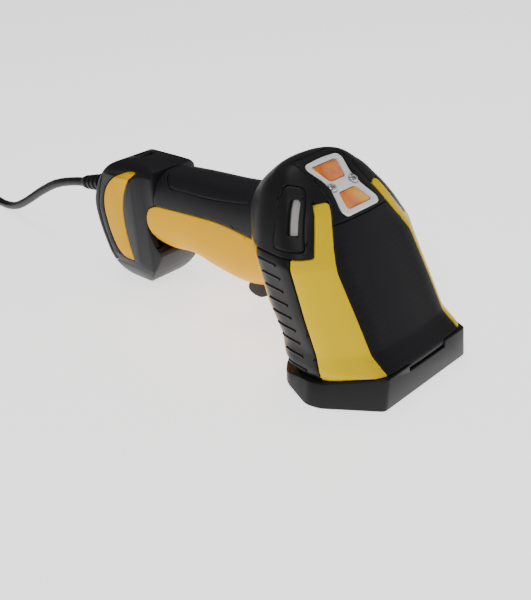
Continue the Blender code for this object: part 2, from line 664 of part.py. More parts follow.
def foot_solid(grow=0.0):
    """The foot's outer form, or one that lies a distance outside or inside it."""
    rings = []
    for depth, inset in ROUNDING + [(2 * BASE_HALF - d, i) for d, i in reversed(ROUNDING)]:
        across = (depth - BASE_HALF) * (BASE_HALF + grow) / BASE_HALF
        rings.append([(across, y, z) for y, z in widened(BASE_OUTLINE, grow - inset)])
    behind = widened(FOOT_BEHIND + [(-x, z) for x, z in reversed(FOOT_BEHIND)], grow)
    above = widened(FOOT_ABOVE + [(-x, y) for x, y in reversed(FOOT_ABOVE)], grow)
    form = keep_inside(loft(rings), plate([behind], 'Y', 120.0, 240.0))
    return keep_inside(form, plate([above], 'Z', -30.0, 100.0))


base = foot_solid()
base_shell = cut(copy_of(base), foot_solid(-3.0), rod((0, 140, 44), (0, 165, 44), 9.0))
grip_end = [(140.0, 49.4), (150.0, 49.4), (156.0, 46.6), (158.4, 41.0), (158.2, 34.0), (155.6, 28.0),
            (153.2, 24.4), (140.0, 23.9)]
base_shell = cut(base_shell, plate([widened(grip_end, GAP)], 'X', -40.0, 40.0))

# the end cap closes the back of the foot, a little way in from its rim
cap_outline = [(189.2, 58.4), (193.0, 52.5), (197.4, 41.0), (196.4, 30.0), (192.4, 18.0), (188.6, 10.5),
               (215.0, 2.0), (215.0, 68.0)]
housing = cut(copy_of(base_shell), plate([widened(cap_outline, GAP)], 'X', -40, 40))
end_cap = keep_inside(base_shell, plate([cap_outline], 'X', -40, 40))

crescent = [(163.5, 63.4), (169.5, 63.2), (182.0, 58.0), (190.0, 50.0), (193.0, 40.0), (190.6, 27.0),
            (186.0, 17.5), (180.0, 14.0), (173.0, 14.5), (176.5, 27.0), (177.0, 40.0), (174.5, 50.0), (169.0, 58.6)]
for side, tag in ((1, 'right'), (-1, 'left')):
    low, high = (8.0, 30.0) if side > 0 else (-30.0, -8.0)
    pocket = keep_inside(plate([widened(crescent, GAP)], 'X', low, high), foot_solid(1.0))
    pocket = cut(pocket, foot_solid(-1.8))
    housing = cut(housing, pocket)
    inlay = cut(keep_inside(plate([crescent], 'X', low, high), foot_solid()), foot_solid(-1.5))
    show(inlay, 'base_insert_' + tag, material(WARM_YELLOW, 0.35))

housing = join(housing, box((-6.4, 166.6, 58.0), (6.4, 183.0, 63.4)))
housing = cut(housing, box((-4.6, 169.0, 60.0), (4.6, 180.6, 80.0)))
show(housing, 'base_housing', material(BLACK, 0.42))
show(soften(box((-4.3, 173.0, 63.4), (4.3, 176.6, 66.6)), 0.6, 1), 'lanyard_bar', material(BLACK, 0.42))

leaving = Vector((0, math.cos(math.radians(CORD_TILT)), -math.sin(math.radians(CORD_TILT))))
outlet = Vector(CORD_EXIT)
end_cap = cut(end_cap, rod(outlet - leaving * 12, outlet + leaving * 8, 3.9),
              rod(outlet - leaving * 1.6, outlet + leaving * 8, 4.9))
for i, x in enumerate((-9.0, 9.0)):
    end_cap = cut(end_cap, rod((x, 197.0, 22), (x, 210, 22), 2.5), rod((x, 186, 22), (x, 210, 22), 1.25))
    screw = join(rod((x, 197.3, 22), (x, 198.6, 22), 2.1), rod((x, 190.0, 22), (x, 197.6, 22), 0.95))
    show(cut(screw, rod((x, 198.0, 22), (x, 200, 22), 0.95, segments=6)), 'base_screw_%d' % (i + 1),
         material(STEEL, 0.3, 1.0))
show(end_cap, 'base_end_cap', material(BLACK, 0.42))
show(soften(box((-6, 175, 39), (6, 189, 51)), 0.6, 1), 'cable_connector', material((0.75, 0.73, 0.68), 0.45))

relief = join(rod(outlet - leaving * 9, outlet + leaving * 1.0, 3.5),
              rod(outlet + leaving * 0.4, outlet + leaving * RELIEF, 4.4, 3.1))
for k in range(6):
    at = outlet + leaving * (5.0 + 4.4 * k)
    relief = join(relief, rod(at - leaving * 1.2, at + leaving * 1.2, 5.5 - 0.3 * k))
show(relief, 'strain_relief', material(SOFT_BLACK, 0.55))

# ---- cord: a run that droops to the floor, then a neat coil and the plug ----

CORD_START = outlet + leaving * (RELIEF + GAP)
CORD_ROUTE = [tuple(CORD_START), tuple(CORD_START + leaving * 13), (0.0, 264.0, 33.6), (0.2, 284.0, 24.6),
              (0.8, 304.0, 14.2), (1.8, 322.0, 6.4), (3.6, 340.0, 2.9), (6.0, 358.0, 2.6), (9.0, 378.0, 2.6),
              (10.6, 396.0, 2.6), (10.8, 404.0, 2.6)]
COIL_CENTRE = (-30.0, 398.0)
COIL_RADIUS = 28.0
COIL_SECTION = 9.6


def smooth_route(points, step):
    """A smooth curve through the route's points, sampled at an even step."""
    fine = []
    count = len(points)
    for i in range(count - 1):
        p0, p1, p2, p3 = (Vector(points[min(max(k, 0), count - 1)]) for k in (i - 1, i, i + 1, i + 2))
        for k in range(20):
            t = k / 20
            fine.append(0.5 * (2 * p1 + (p2 - p0) * t + (2 * p0 - 5 * p1 + 4 * p2 - p3) * t ** 2
                               + (3 * p1 - p0 - 3 * p2 + p3) * t ** 3))
    fine.append(Vector(points[-1]))
    even, walked = [fine[0]], 0.0
    for a, b in zip(fine, fine[1:]):
        walked += (b - a).length
        if walked >= step:
            even.append(b)
            walked = 0.0
    even[-1] = fine[-1]
    return even


tube('cord_run', smooth_route(CORD_ROUTE, 2.2 * CORD_D), CORD_D / 2, material(SOFT_BLACK, 0.5), resolution=3)

bm = bmesh.new()
section = [bm.verts.new(((COIL_RADIUS + COIL_SECTION * math.cos(2 * math.pi * k / 16)) * MM, 0,
                         COIL_SECTION * math.sin(2 * math.pi * k / 16) * MM)) for k in range(16)]
for k in range(16):
    bm.edges.new((section[k], section[(k + 1) % 16]))
coil = from_bmesh(bm)
turned = coil.modifiers.new('turned', 'SCREW')
turned.axis = 'Z'
turned.steps = turned.render_steps = 40
turned.use_merge_vertices = True
turned.merge_threshold = 0.00001
turned.use_normal_calculate = True
show(coil, 'cord_coil', material(SOFT_BLACK, 0.5))
coil.location = (COIL_CENTRE[0] * MM, COIL_CENTRE[1] * MM, (COIL_SECTION + 0.1) * MM)

plug_y = COIL_CENTRE[1] + COIL_RADIUS + COIL_SECTION + GAP
show(soften(box((-46, plug_y, 0.0), (-21, plug_y + 15, 8.0)), 1.6, 2), 'usb_plug_body',
     material(SOFT_BLACK, 0.45))
show(box((-58.3, plug_y + 1.5, 1.8), (-46.3, plug_y + 13.5, 6.3)), 'usb_plug_shell',
     material(STEEL, 0.25, 1.0))

# each piece gets its own middle as its origin, and the trigger its pin's axis
for piece in parts.objects:
    if piece.name != 'cord_coil':
        bpy.context.view_layer.update()
        corners = [Vector(corner) for corner in piece.bound_box]
        middle = sum(corners, Vector()) / 8
        if piece.name == 'trigger':
            middle = Vector((0.0, py, pz)) * MM
        piece.data.transform(Matrix.Translation(-middle))
        piece.location = middle
    piece.location.y -= LIP_TO_ORIGIN * MM
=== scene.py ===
import json
import math
import bpy
import bmesh
from mathutils import Matrix, Vector

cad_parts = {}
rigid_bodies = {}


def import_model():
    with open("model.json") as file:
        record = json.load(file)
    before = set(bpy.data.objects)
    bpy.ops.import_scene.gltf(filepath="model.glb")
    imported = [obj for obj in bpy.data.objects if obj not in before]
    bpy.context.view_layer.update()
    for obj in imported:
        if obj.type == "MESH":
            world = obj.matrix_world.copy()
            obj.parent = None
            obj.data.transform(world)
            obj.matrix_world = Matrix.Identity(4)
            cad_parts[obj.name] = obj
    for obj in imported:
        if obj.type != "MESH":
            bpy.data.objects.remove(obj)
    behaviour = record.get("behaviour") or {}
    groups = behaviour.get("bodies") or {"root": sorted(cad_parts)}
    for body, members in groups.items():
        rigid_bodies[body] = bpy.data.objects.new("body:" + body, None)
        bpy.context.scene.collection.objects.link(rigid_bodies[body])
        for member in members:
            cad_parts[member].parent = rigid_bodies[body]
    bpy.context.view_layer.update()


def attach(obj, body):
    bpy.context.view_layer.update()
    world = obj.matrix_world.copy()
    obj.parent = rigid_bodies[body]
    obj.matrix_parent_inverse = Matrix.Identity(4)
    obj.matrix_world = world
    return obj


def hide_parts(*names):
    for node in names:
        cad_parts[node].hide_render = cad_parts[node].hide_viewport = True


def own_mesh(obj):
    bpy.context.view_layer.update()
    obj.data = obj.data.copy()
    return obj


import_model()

scene = bpy.context.scene
scraps = bpy.data.collections.new("scraps")      # shapes that only cut others
scene.collection.children.link(scraps)

# Shapes are drawn in millimetres from the nose's front edge and placed in metres at the end.
mm = 0.001
lipToOrigin = 4.0
gap = 0.3
place = Matrix.Translation((0, -lipToOrigin * mm, 0)) @ Matrix.Scale(mm, 4)

# camera

view = dict(spot=(-0.2524, -0.1808, 0.2011), azimuth=-43.1, elevation=27.4, roll=-4.9, lens=52.6)


def makeCamera():
    data = bpy.data.cameras.new("camera")
    data.lens = view["lens"]
    data.sensor_width = 36.0
    data.clip_start = 0.01
    cam = bpy.data.objects.new("camera", data)
    scene.collection.objects.link(cam)
    az, el = math.radians(view["azimuth"]), math.radians(view["elevation"])
    back = Vector((math.sin(az) * math.cos(el), -math.cos(az) * math.cos(el), math.sin(el)))
    turn = back.to_track_quat("Z", "Y").to_matrix().to_4x4()
    roll = Matrix.Rotation(math.radians(view["roll"]), 4, "Z")
    cam.matrix_world = Matrix.Translation(view["spot"]) @ turn @ roll
    scene.camera = cam


makeCamera()


# finishes

class Level:
    def __init__(self, finish, socket):
        self.finish, self.socket = finish, socket

    def maths(self, operation, first, second):
        made = self.finish.node("ShaderNodeMath", dict(operation=operation), {0: first, 1: second})
        return Level(self.finish, made.outputs[0])

    def __add__(self, other):
        return self.maths("ADD", self, other)

    def __radd__(self, other):
        return self.maths("ADD", other, self)

    def __sub__(self, other):
        return self.maths("SUBTRACT", self, other)

    def __rsub__(self, other):
        return self.maths("SUBTRACT", other, self)

    def __mul__(self, other):
        return self.maths("MULTIPLY", self, other)

    def __rmul__(self, other):
        return self.maths("MULTIPLY", other, self)

    def __truediv__(self, other):
        return self.maths("DIVIDE", self, other)

    def atLeast(self, other):
        return self.maths("MAXIMUM", self, other)

    def atMost(self, other):
        return self.maths("MINIMUM", self, other)

    def wave(self):
        return self.maths("SINE", self, 0.0)


class Finish:
    def __init__(self, name, **fixed):
        self.made = bpy.data.materials.new(name)
        self.made.use_nodes = True
        self.tree = self.made.node_tree
        self.shader = self.tree.nodes["Principled BSDF"]
        for key, value in fixed.items():
            self.shader.inputs[key.replace("_", " ")].default_value = value
        self.spot = self.node("ShaderNodeTexCoord", {}, {}).outputs["Object"]

    def node(self, kind, settings, values):
        made = self.tree.nodes.new(kind)
        stops = settings.pop("stops", None)
        for key, value in settings.items():
            setattr(made, key, value)
        if stops:
            while len(made.color_ramp.elements) < len(stops):
                made.color_ramp.elements.new(0.5)
            for element, (where, colour) in zip(made.color_ramp.elements, stops):
                element.position, element.color = where, (*colour, 1.0)
        for key, value in values.items():
            self.feed(made.inputs[key], value)
        return made

    def feed(self, socket, value):
        if isinstance(value, Level):
            value = value.socket
        if isinstance(value, bpy.types.NodeSocket):
            self.tree.links.new(value, socket)
        else:
            socket.default_value = value

    def noise(self, scale, detail=2.0, spot=None):
        values = {"Vector": spot or self.spot, "Scale": scale, "Detail": detail}
        made = self.node("ShaderNodeTexNoise", {}, values)
        return Level(self, made.outputs["Fac"])

    def axes(self):
        made = self.node("ShaderNodeSeparateXYZ", {}, {0: self.spot})
        return [Level(self, made.outputs[i]) for i in range(3)]

    def mix(self, amount, first, second):
        made = self.node("ShaderNodeMix", dict(data_type="RGBA"), {0: amount, 6: first, 7: second})
        return made.outputs[2]

    def ramp(self, amount, stops):
        return self.node("ShaderNodeValToRGB", dict(stops=stops), {0: amount}).outputs[0]

    def bump(self, height, strength, distance=0.0003):
        made = self.node("ShaderNodeBump", {}, {"Height": height, "Strength": strength, "Distance": distance})
        self.feed(self.shader.inputs["Normal"], made.outputs[0])

    def set(self, name, value):
        self.feed(self.shader.inputs[name], value)
        return self


def shade(colour, factor):
    return (*[min(1.0, c * factor) for c in colour], 1.0)


# moulded plastic: cloudy colour and gloss, with a fine spark-eroded grain
def moulded(name, colour, rough, grain=0.25, grainScale=2600.0, vary=0.10, gloss=0.16, **fixed):
    made = Finish(name, Specular_IOR_Level=gloss, **fixed)
    cloud = made.noise(38.0, 3.0)
    fine = made.noise(grainScale, 2.0)
    made.set("Base Color", made.mix(cloud, shade(colour, 1 - vary), shade(colour, 1 + vary)))
    made.set("Roughness", rough - 0.05 + cloud * 0.08 + fine * 0.04)
    made.bump(fine, grain, 0.00006)
    return made.made


# the front cover's printed foil: a faint twill that shows most along its edges
def coverFoil(name, colour):
    made = Finish(name, Specular_IOR_Level=0.18)
    x, y, z = made.axes()
    up = z * 1400.0
    across = x * 1400.0
    twill = (across + up).wave() * (across - up).wave()
    patches = made.noise(150.0, 3.0)
    edge = (x.maths("ABSOLUTE", x, 0.0) * 52.0 - 0.35).atLeast(0.0).atMost(1.0)
    amount = (twill * 0.22 + patches * 0.9 - 0.15).atLeast(0.0).atMost(1.0)
    dark, light = shade(colour, 0.50), shade(colour, 1.15)
    plain = made.mix(patches, shade(colour, 0.95), shade(colour, 1.05))
    made.set("Base Color", made.mix(edge, plain, made.mix(amount, dark, light)))
    made.set("Roughness", 0.50 + patches * 0.08 - twill * 0.02)
    made.bump(twill * 0.5 + made.noise(2400.0), 0.12, 0.00005)
    return made.made


# the slots' pane: light grey in front, dark along its rear edge
def slotPane(name, colour):
    made = Finish(name, Specular_IOR_Level=0.35)
    x, y, z = made.axes()
    front = ((0.0396 + (z - 0.066) * 0.40 - y) * 1500.0).atLeast(0.0).atMost(1.0)
    made.set("Base Color", made.mix(front, (0.006, 0.006, 0.007, 1), shade(colour, 1.0)))
    made.set("Roughness", 0.30 + made.noise(300.0) * 0.05)
    return made.made


def amberLens(name):
    made = Finish(name, Transmission_Weight=0.0, Coat_Weight=0.6, Coat_Roughness=0.08, IOR=1.5)
    depth = made.noise(120.0, 1.0)
    glow = made.ramp(made.noise(95.0, 2.0) * 1.1 - 0.05,
                     [(0.30, (0.62, 0.13, 0.004)), (0.50, (0.80, 0.22, 0.006)), (0.72, (0.93, 0.46, 0.02))])
    made.set("Base Color", glow)
    # the same colours also feed Emission at 0.12: a faint painted glow, as no lamp lights the windows
    made.set("Emission Color", glow)
    made.shader.inputs["Emission Strength"].default_value = 0.12
    made.set("Roughness", 0.16 + depth * 0.1)
    return made.made


def metal(name, colour, rough, scale=900.0):
    made = Finish(name, Metallic=1.0)
    streak = made.noise(scale, 3.0)
    made.set("Base Color", made.mix(streak, shade(colour, 0.82), shade(colour, 1.12)))
    made.set("Roughness", rough + streak * 0.14 - 0.05)
    made.bump(streak, 0.06, 0.00003)
    return made.made


def circuitBoard(name):
    made = Finish(name, Coat_Weight=0.3)
    x, y, z = made.axes()
    tracks = (x * 3800.0).wave() * (y * 2900.0 + z * 2900.0).wave()
    amount = (tracks * 3.0 - 1.2).atLeast(0.0).atMost(1.0)
    made.set("Base Color", made.mix(amount, (0.012, 0.10, 0.04, 1), (0.05, 0.28, 0.10, 1)))
    made.set("Roughness", 0.45 - amount * 0.15)
    made.bump(amount, 0.3, 0.00004)
    return made.made


def lensGlass(name, colour, coat=1.0):
    made = Finish(name, Coat_Weight=coat, Coat_Roughness=0.03, Specular_IOR_Level=0.6)
    ring = made.noise(260.0, 1.0)
    made.set("Base Color", made.mix(ring, shade(colour, 0.7), shade(colour, 1.3)))
    made.set("Roughness", 0.05 + ring * 0.05)
    return made.made


lemonYellow = (0.830, 0.560, 0.000)
warmYellow = (0.820, 0.420, 0.000)
charcoal = (0.012, 0.012, 0.013)
finishes = dict(
    cover=coverFoil("coverFoil", (0.012, 0.012, 0.014)),
    shell=moulded("charcoalShell", charcoal, 0.42, 0.30),
    bumper=moulded("noseRubber", (0.010, 0.010, 0.011), 0.36, 0.15, 1800.0),
    ribs=moulded("ribRubber", (0.012, 0.012, 0.013), 0.30, 0.10),
    handle=moulded("handleShell", (0.014, 0.014, 0.016), 0.46, 0.35),
    pad=moulded("handlePad", (0.013, 0.013, 0.015), 0.50, 0.45, 2000.0),
    foot=moulded("footShell", (0.012, 0.012, 0.014), 0.40, 0.28),
    lemon=moulded("lemonInsert", lemonYellow, 0.30, 0.08, vary=0.03, gloss=0.06),
    warm=moulded("warmYellowGrip", warmYellow, 0.36, 0.12, vary=0.04, gloss=0.05),
    white=moulded("indicatorWhite", (0.90, 0.90, 0.90), 0.22, 0.03, vary=0.01, Coat_Weight=0.5,
                  Coat_Roughness=0.05),
    window=slotPane("slotGrey", (0.34, 0.32, 0.31)),
    amber=amberLens("amberLens"),
    steel=metal("screwSteel", (0.66, 0.66, 0.68), 0.24),
    castMetal=metal("castEngine", (0.30, 0.31, 0.33), 0.42, 400.0),
    board=circuitBoard("circuitBoard"),
    glass=lensGlass("scanGlass", (0.045, 0.008, 0.010)),
    clear=lensGlass("clearLens", (0.30, 0.31, 0.34)),
    red=moulded("redMoulding", (0.55, 0.03, 0.02), 0.35, 0.1),
    cream=moulded("connectorCream", (0.72, 0.69, 0.60), 0.45, 0.1),
    cord=moulded("cordJacket", (0.010, 0.010, 0.011), 0.40, 0.2, 1500.0),
)
print("finishes made")


# shapes

def objectFrom(bm, name="shape"):
    bmesh.ops.recalc_face_normals(bm, faces=bm.faces)
    mesh = bpy.data.meshes.new(name)
    bm.to_mesh(mesh)
    bm.free()
    ob = bpy.data.objects.new(name, mesh)
    scraps.objects.link(ob)
    return ob


def settled(ob):
    bpy.context.view_layer.update()
    mesh = bpy.data.meshes.new_from_object(ob.evaluated_get(bpy.context.evaluated_depsgraph_get()))
    made = bpy.data.objects.new(ob.name, mesh)
    scraps.objects.link(made)
    bpy.data.objects.remove(ob, do_unlink=True)
    return made


def copyOf(ob):
    made = bpy.data.objects.new(ob.name, ob.data.copy())
    scraps.objects.link(made)
    return made


def carve(ob, keep=(), away=(), add=()):
    ob = copyOf(ob)
    for operation, others in (("UNION", add), ("INTERSECT", keep), ("DIFFERENCE", away)):
        for other in others:
            step = ob.modifiers.new(operation, "BOOLEAN")
            step.solver = "MANIFOLD"
            step.operation = operation
            step.object = other
    return settled(ob)


lying = dict(X=lambda u, v, w: (w, u, v), Y=lambda u, v, w: (u, w, v), Z=lambda u, v, w: (u, v, w))


# a flat outline given a thickness along an axis
def prism(outline, axis, low, high, turn=None):
    bm = bmesh.new()
    ends = [[bm.verts.new(lying[axis](u, v, w)) for u, v in outline] for w in (low, high)]
    for end in ends:
        bm.faces.new(end)
    for i in range(len(outline)):
        bm.faces.new((ends[0][i - 1], ends[0][i], ends[1][i], ends[1][i - 1]))
    if turn is not None:
        bm.transform(turn)
    return objectFrom(bm)


def block(low, high):
    outline = [(low[0], low[1]), (high[0], low[1]), (high[0], high[1]), (low[0], high[1])]
    return prism(outline, "Z", low[2], high[2])


def lofted(rings):
    bm = bmesh.new()
    rows = [[bm.verts.new(p) for p in ring] for ring in rings]
    for lower, upper in zip(rows, rows[1:]):
        for i in range(len(lower)):
            bm.faces.new((lower[i - 1], lower[i], upper[i], upper[i - 1]))
    bm.faces.new(rows[0])
    bm.faces.new(rows[-1])
    return objectFrom(bm)


# a profile of (radius, distance along) turned about a line
def turned(profile, start, direction, steps=40):
    rings = []
    for radius, along in profile:
        rings.append([(radius * math.cos(a), radius * math.sin(a), along)
                      for a in [2 * math.pi * k / steps for k in range(steps)]])
    ob = lofted(rings)
    turn = Vector(direction).to_track_quat("Z", "Y").to_matrix().to_4x4()
    ob.data.transform(Matrix.Translation(start) @ turn)
    return ob


def rounded(outline, radii, steps=6):
    done = []
    count = len(outline)
    for i, corner in enumerate(outline):
        here = Vector(corner)
        before, after = Vector(outline[i - 1]), Vector(outline[(i + 1) % count])
        radius = radii[i] if isinstance(radii, (list, tuple)) else radii
        reach = min(radius, (before - here).length * 0.46, (after - here).length * 0.46)
        a = here + (before - here).normalized() * reach
        b = here + (after - here).normalized() * reach
        for k in range(steps + 1):
            t = k / steps
            p = (1 - t) ** 2 * a + 2 * t * (1 - t) * here + t ** 2 * b
            if not done or (p - done[-1]).length > 0.01:
                done.append(p)
    return [tuple(p) for p in done]


def widened(outline, distance):
    points = [Vector(p) for p in outline]
    count = len(points)
    side = 1 if sum(points[i - 1].cross(points[i]) for i in range(count)) > 0 else -1
    done = []
    for i in range(count):
        a = (points[i] - points[i - 1]).normalized()
        b = (points[(i + 1) % count] - points[i]).normalized()
        na, nb = Vector((a.y, -a.x)) * side, Vector((b.y, -b.x)) * side
        split = (na + nb).normalized()
        done.append(tuple(points[i] + split * distance / max(0.35, split.dot(na))))
    return done


def grown(ob, distance):
    made = copyOf(ob)
    bm = bmesh.new()
    bm.from_mesh(made.data)
    bm.normal_update()
    moves = [(v, v.normal * v.calc_shell_factor() * distance) for v in bm.verts]
    for v, move in moves:
        v.co += move
    bm.to_mesh(made.data)
    bm.free()
    return made


def mirrored(ob):
    made = copyOf(ob)
    made.data.transform(Matrix.Scale(-1, 4, (1, 0, 0)))
    made.data.flip_normals()
    return made


# rounds a piece's sharp edges, puts it in its place and hands it to its body
def release(ob, name, finish, nodes=(), edge=0.3, steps=2, body="case", weld=0.06, angle=32.0, smooth=38.0):
    bm = bmesh.new()
    bm.from_mesh(ob.data)
    bmesh.ops.remove_doubles(bm, verts=bm.verts, dist=weld)
    bmesh.ops.dissolve_degenerate(bm, edges=bm.edges, dist=weld * 0.5)
    bm.to_mesh(ob.data)
    bm.free()
    if edge > 0:
        step = ob.modifiers.new("edge", "BEVEL")
        step.width = edge
        step.segments = steps
        step.limit_method = "ANGLE"
        step.angle_limit = math.radians(angle)
        step.use_clamp_overlap = False
        step.miter_outer = "MITER_ARC"
        ob = settled(ob)
    ob.data.transform(place)
    ob.data.materials.clear()
    ob.data.materials.append(finish)
    ob.data.shade_smooth()
    ob.data.set_sharp_from_angle(angle=math.radians(smooth))
    scraps.objects.unlink(ob)
    scene.collection.objects.link(ob)
    ob.name = name
    ob.data.name = name
    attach(ob, body)
    if nodes:
        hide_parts(*nodes)
    return ob


# cord: the run, the coil and its tail to the plug, as one line

cord = dict(
    diameter=5.0, length=2.0, relief=31.0, outlet=(0.0, 201.5, 46.5), tilt=10.0,
    route=[(0.0, 264.0, 33.6), (0.2, 284.0, 24.6), (0.8, 304.0, 14.2), (1.8, 322.0, 6.4), (3.6, 340.0, 2.9),
           (6.0, 358.0, 2.6), (9.0, 378.0, 2.6), (10.6, 396.0, 2.6), (10.8, 404.0, 2.6)],
    coilCentre=(-30.0, 398.0), outer=35.0, inner=21.4, layers=4, turnsEach=2.35, pitch=5.06, floor=2.6,
    tail=[(8.0, 411.0, 17.6), (7.2, 424.0, 14.6), (1.2, 435.4, 9.2), (-9.0, 442.0, 5.2), (-15.0, 443.4, 4.2),
          (-21.2, 443.4, 4.0)])
leaving = Vector((0, math.cos(math.radians(cord["tilt"])), -math.sin(math.radians(cord["tilt"]))))
outlet = Vector(cord["outlet"])


def smoothLine(points, step):
    fine = []
    last = len(points) - 1
    for i in range(last):
        p0, p1, p2, p3 = (Vector(points[min(max(k, 0), last)]) for k in (i - 1, i, i + 1, i + 2))
        for k in range(16):
            t = k / 16
            fine.append(0.5 * (2 * p1 + (p2 - p0) * t + (2 * p0 - 5 * p1 + 4 * p2 - p3) * t ** 2
                               + (3 * p1 - p0 - 3 * p2 + p3) * t ** 3))
    fine.append(Vector(points[-1]))
    even, walked = [fine[0]], 0.0
    for a, b in zip(fine, fine[1:]):
        walked += (b - a).length
        if walked >= step:
            even.append(b)
            walked = 0.0
    even[-1] = fine[-1]
    return even


def coilTurns():
    cx, cy = cord["coilCentre"]
    angle = math.radians(72.0)
    stepTurn = math.radians(14.0)
    radius, height = cord["outer"], cord["floor"]
    shrink = (cord["outer"] - cord["inner"]) / cord["turnsEach"]
    points = []
    for layer in range(cord["layers"]):
        inward = layer % 2 == 0
        steps = round(cord["turnsEach"] * 2 * math.pi / stepTurn)
        if layer == cord["layers"] - 1:
            steps -= 4                     # the last layer stops where the tail leaves
        for k in range(steps + 1):
            share = k / steps
            radius = cord["outer"] - shrink * cord["turnsEach"] * (share if inward else 1 - share)
            points.append((cx + radius * math.cos(angle), cy + radius * math.sin(angle), height))
            angle += stepTurn
        if layer < cord["layers"] - 1:
            for k in range(1, 5):
                rise = 0.5 - 0.5 * math.cos(math.pi * k / 5)
                points.append((cx + radius * math.cos(angle), cy + radius * math.sin(angle),
                               height + rise * cord["pitch"]))
                angle += stepTurn
            height += cord["pitch"]
    return points, angle - stepTurn


def makeCord():
    start = outlet + leaving * (cord["relief"] + gap)
    turns, lastAngle = coilTurns()
    cx, cy = cord["coilCentre"]
    entry = []
    for k in range(1, 5):
        a = math.radians(8.4 + k * 12.7)
        r = 41.2 + (cord["outer"] - 41.2) * (k / 5) ** 1.2
        entry.append((cx + r * math.cos(a), cy + r * math.sin(a), cord["floor"]))
    run = [tuple(start), tuple(start + leaving * 13)] + cord["route"] + entry
    line = smoothLine(run + turns[:1], 8.0)[:-1] + [Vector(p) for p in turns]
    line += smoothLine([turns[-1]] + cord["tail"], 5.0)[1:]
    curve = bpy.data.curves.new("cord", "CURVE")
    curve.dimensions = "3D"
    curve.bevel_depth = cord["diameter"] / 2 * mm
    curve.bevel_resolution = 4
    curve.use_fill_caps = True
    spline = curve.splines.new("POLY")
    spline.points.add(len(line) - 1)
    for point, spot in zip(spline.points, line):
        point.co = (*(place @ spot), 1)
    spline.use_smooth = True
    ob = bpy.data.objects.new("cord", curve)
    scene.collection.objects.link(ob)
    curve.materials.append(finishes["cord"])
    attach(ob, "case")
    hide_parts("cord_run", "cord_coil")
    print("cord drawn, last angle", round(math.degrees(lastAngle) % 360))
    return ob, place @ start


cordLine, cordStart = makeCord()

# head: one smooth form, cut into its mouldings

head = dict(
    wall=2.4, stepHeight=58.0, coverTop=67.6, surroundEnd=58.5, surroundHalf=12.3,
    legTop=75.5, legOuter=(28.5, 19.2), notch=(12.0, 11.8),
    fillets=[8.0, 6.5, 3.0, 3.0, 5.0, 6.0, 9.0],
    sections=[
        (1.2, [(0.0, 4.2), (23.5, 4.8), (32.5, 19.0), (34.0, 24.5), (33.5, 38.0),
               (26.0, 44.5), (0.0, 45.5)]),
        (8.0, [(0.0, 3.2), (24.0, 3.8), (34.5, 19.5), (35.6, 25.5), (34.8, 40.0),
               (27.0, 47.5), (0.0, 49.0)]),
        (11.0, [(0.0, 1.4), (25.6, 1.9), (37.4, 20.6), (38.0, 27.6), (36.3, 43.0),
               (28.2, 51.2), (0.0, 53.0)]),
        (14.5, [(0.0, -0.1), (26.0, 0.3), (37.9, 20.8), (38.3, 28.0), (36.6, 44.4),
               (28.6, 53.0), (0.0, 55.0)]),
        (21.0, [(0.0, 6.7), (24.2, 8.1), (36.2, 22.5), (37.2, 28.5), (35.6, 45.0),
               (27.6, 55.4), (0.0, 57.6)]),
        (35.0, [(0.0, 13.7), (24.2, 15.0), (36.6, 29.0), (37.6, 35.0), (35.8, 51.5),
               (27.0, 63.5), (0.0, 66.5)]),
        (55.0, [(0.0, 24.1), (24.0, 25.5), (36.0, 36.5), (37.0, 42.5), (34.5, 60.0),
               (24.0, 73.0), (0.0, 76.5)]),
        (68.0, [(0.0, 31.2), (16.0, 32.5), (27.0, 38.0), (31.5, 45.0), (29.5, 63.0),
               (19.0, 78.5), (0.0, 82.0)]),
        (76.0, [(0.0, 36.0), (13.0, 37.0), (20.5, 40.5), (26.5, 49.0), (25.0, 64.5),
               (16.0, 76.5), (0.0, 79.5)]),
        (83.0, [(0.0, 45.3), (12.5, 46.5), (17.5, 49.0), (22.0, 54.0), (20.5, 64.0),
               (12.0, 70.5), (0.0, 72.5)]),
        (87.6, [(0.0, 53.6), (8.5, 54.2), (11.5, 55.0), (13.5, 57.0), (12.0, 61.5),
               (7.5, 64.0), (0.0, 65.0)]),
    ])


def bothSides(half):
    return half + [(-x, y) for x, y in reversed(half) if x > 0.01]


def sectionAt(z):
    z = min(max(z, head["sections"][0][0]), head["sections"][-1][0])
    for (low, first), (high, second) in zip(head["sections"], head["sections"][1:]):
        if low <= z <= high:
            t = (z - low) / (high - low)
            return [Vector(p).lerp(Vector(q), t) for p, q in zip(first, second)]


# the section with its creases eased: sharp ones low down, a smooth dome above
def easedSection(z):
    reach = 0.9 if z < 57 else 0.9 + min(4.0, (z - 57) * 0.5)
    reach = min(reach, max(0.05, 87.6 - z), max(0.05, z - 1.2))
    picks = [sectionAt(z + reach * k / 4) for k in range(-4, 5)]
    return [tuple(sum((pick[i] for pick in picks), Vector((0, 0))) / 9) for i in range(7)]


def headRing(z, inset=0.0):
    radii = head["fillets"] + head["fillets"][-2:0:-1]
    outline = rounded(bothSides(easedSection(z)), radii, 7)
    if inset:
        outline = widened(outline, -inset)
    return outline


def evenRing(outline, count=108):
    loop = [Vector(p) for p in outline] + [Vector(outline[0])]
    lengths = [(b - a).length for a, b in zip(loop, loop[1:])]
    total, done, k, walked = sum(lengths), [], 0, 0.0
    for i in range(count):
        target = total * i / count
        while walked + lengths[k] < target:
            walked += lengths[k]
            k += 1
        done.append(tuple(loop[k].lerp(loop[k + 1], (target - walked) / lengths[k])))
    return done


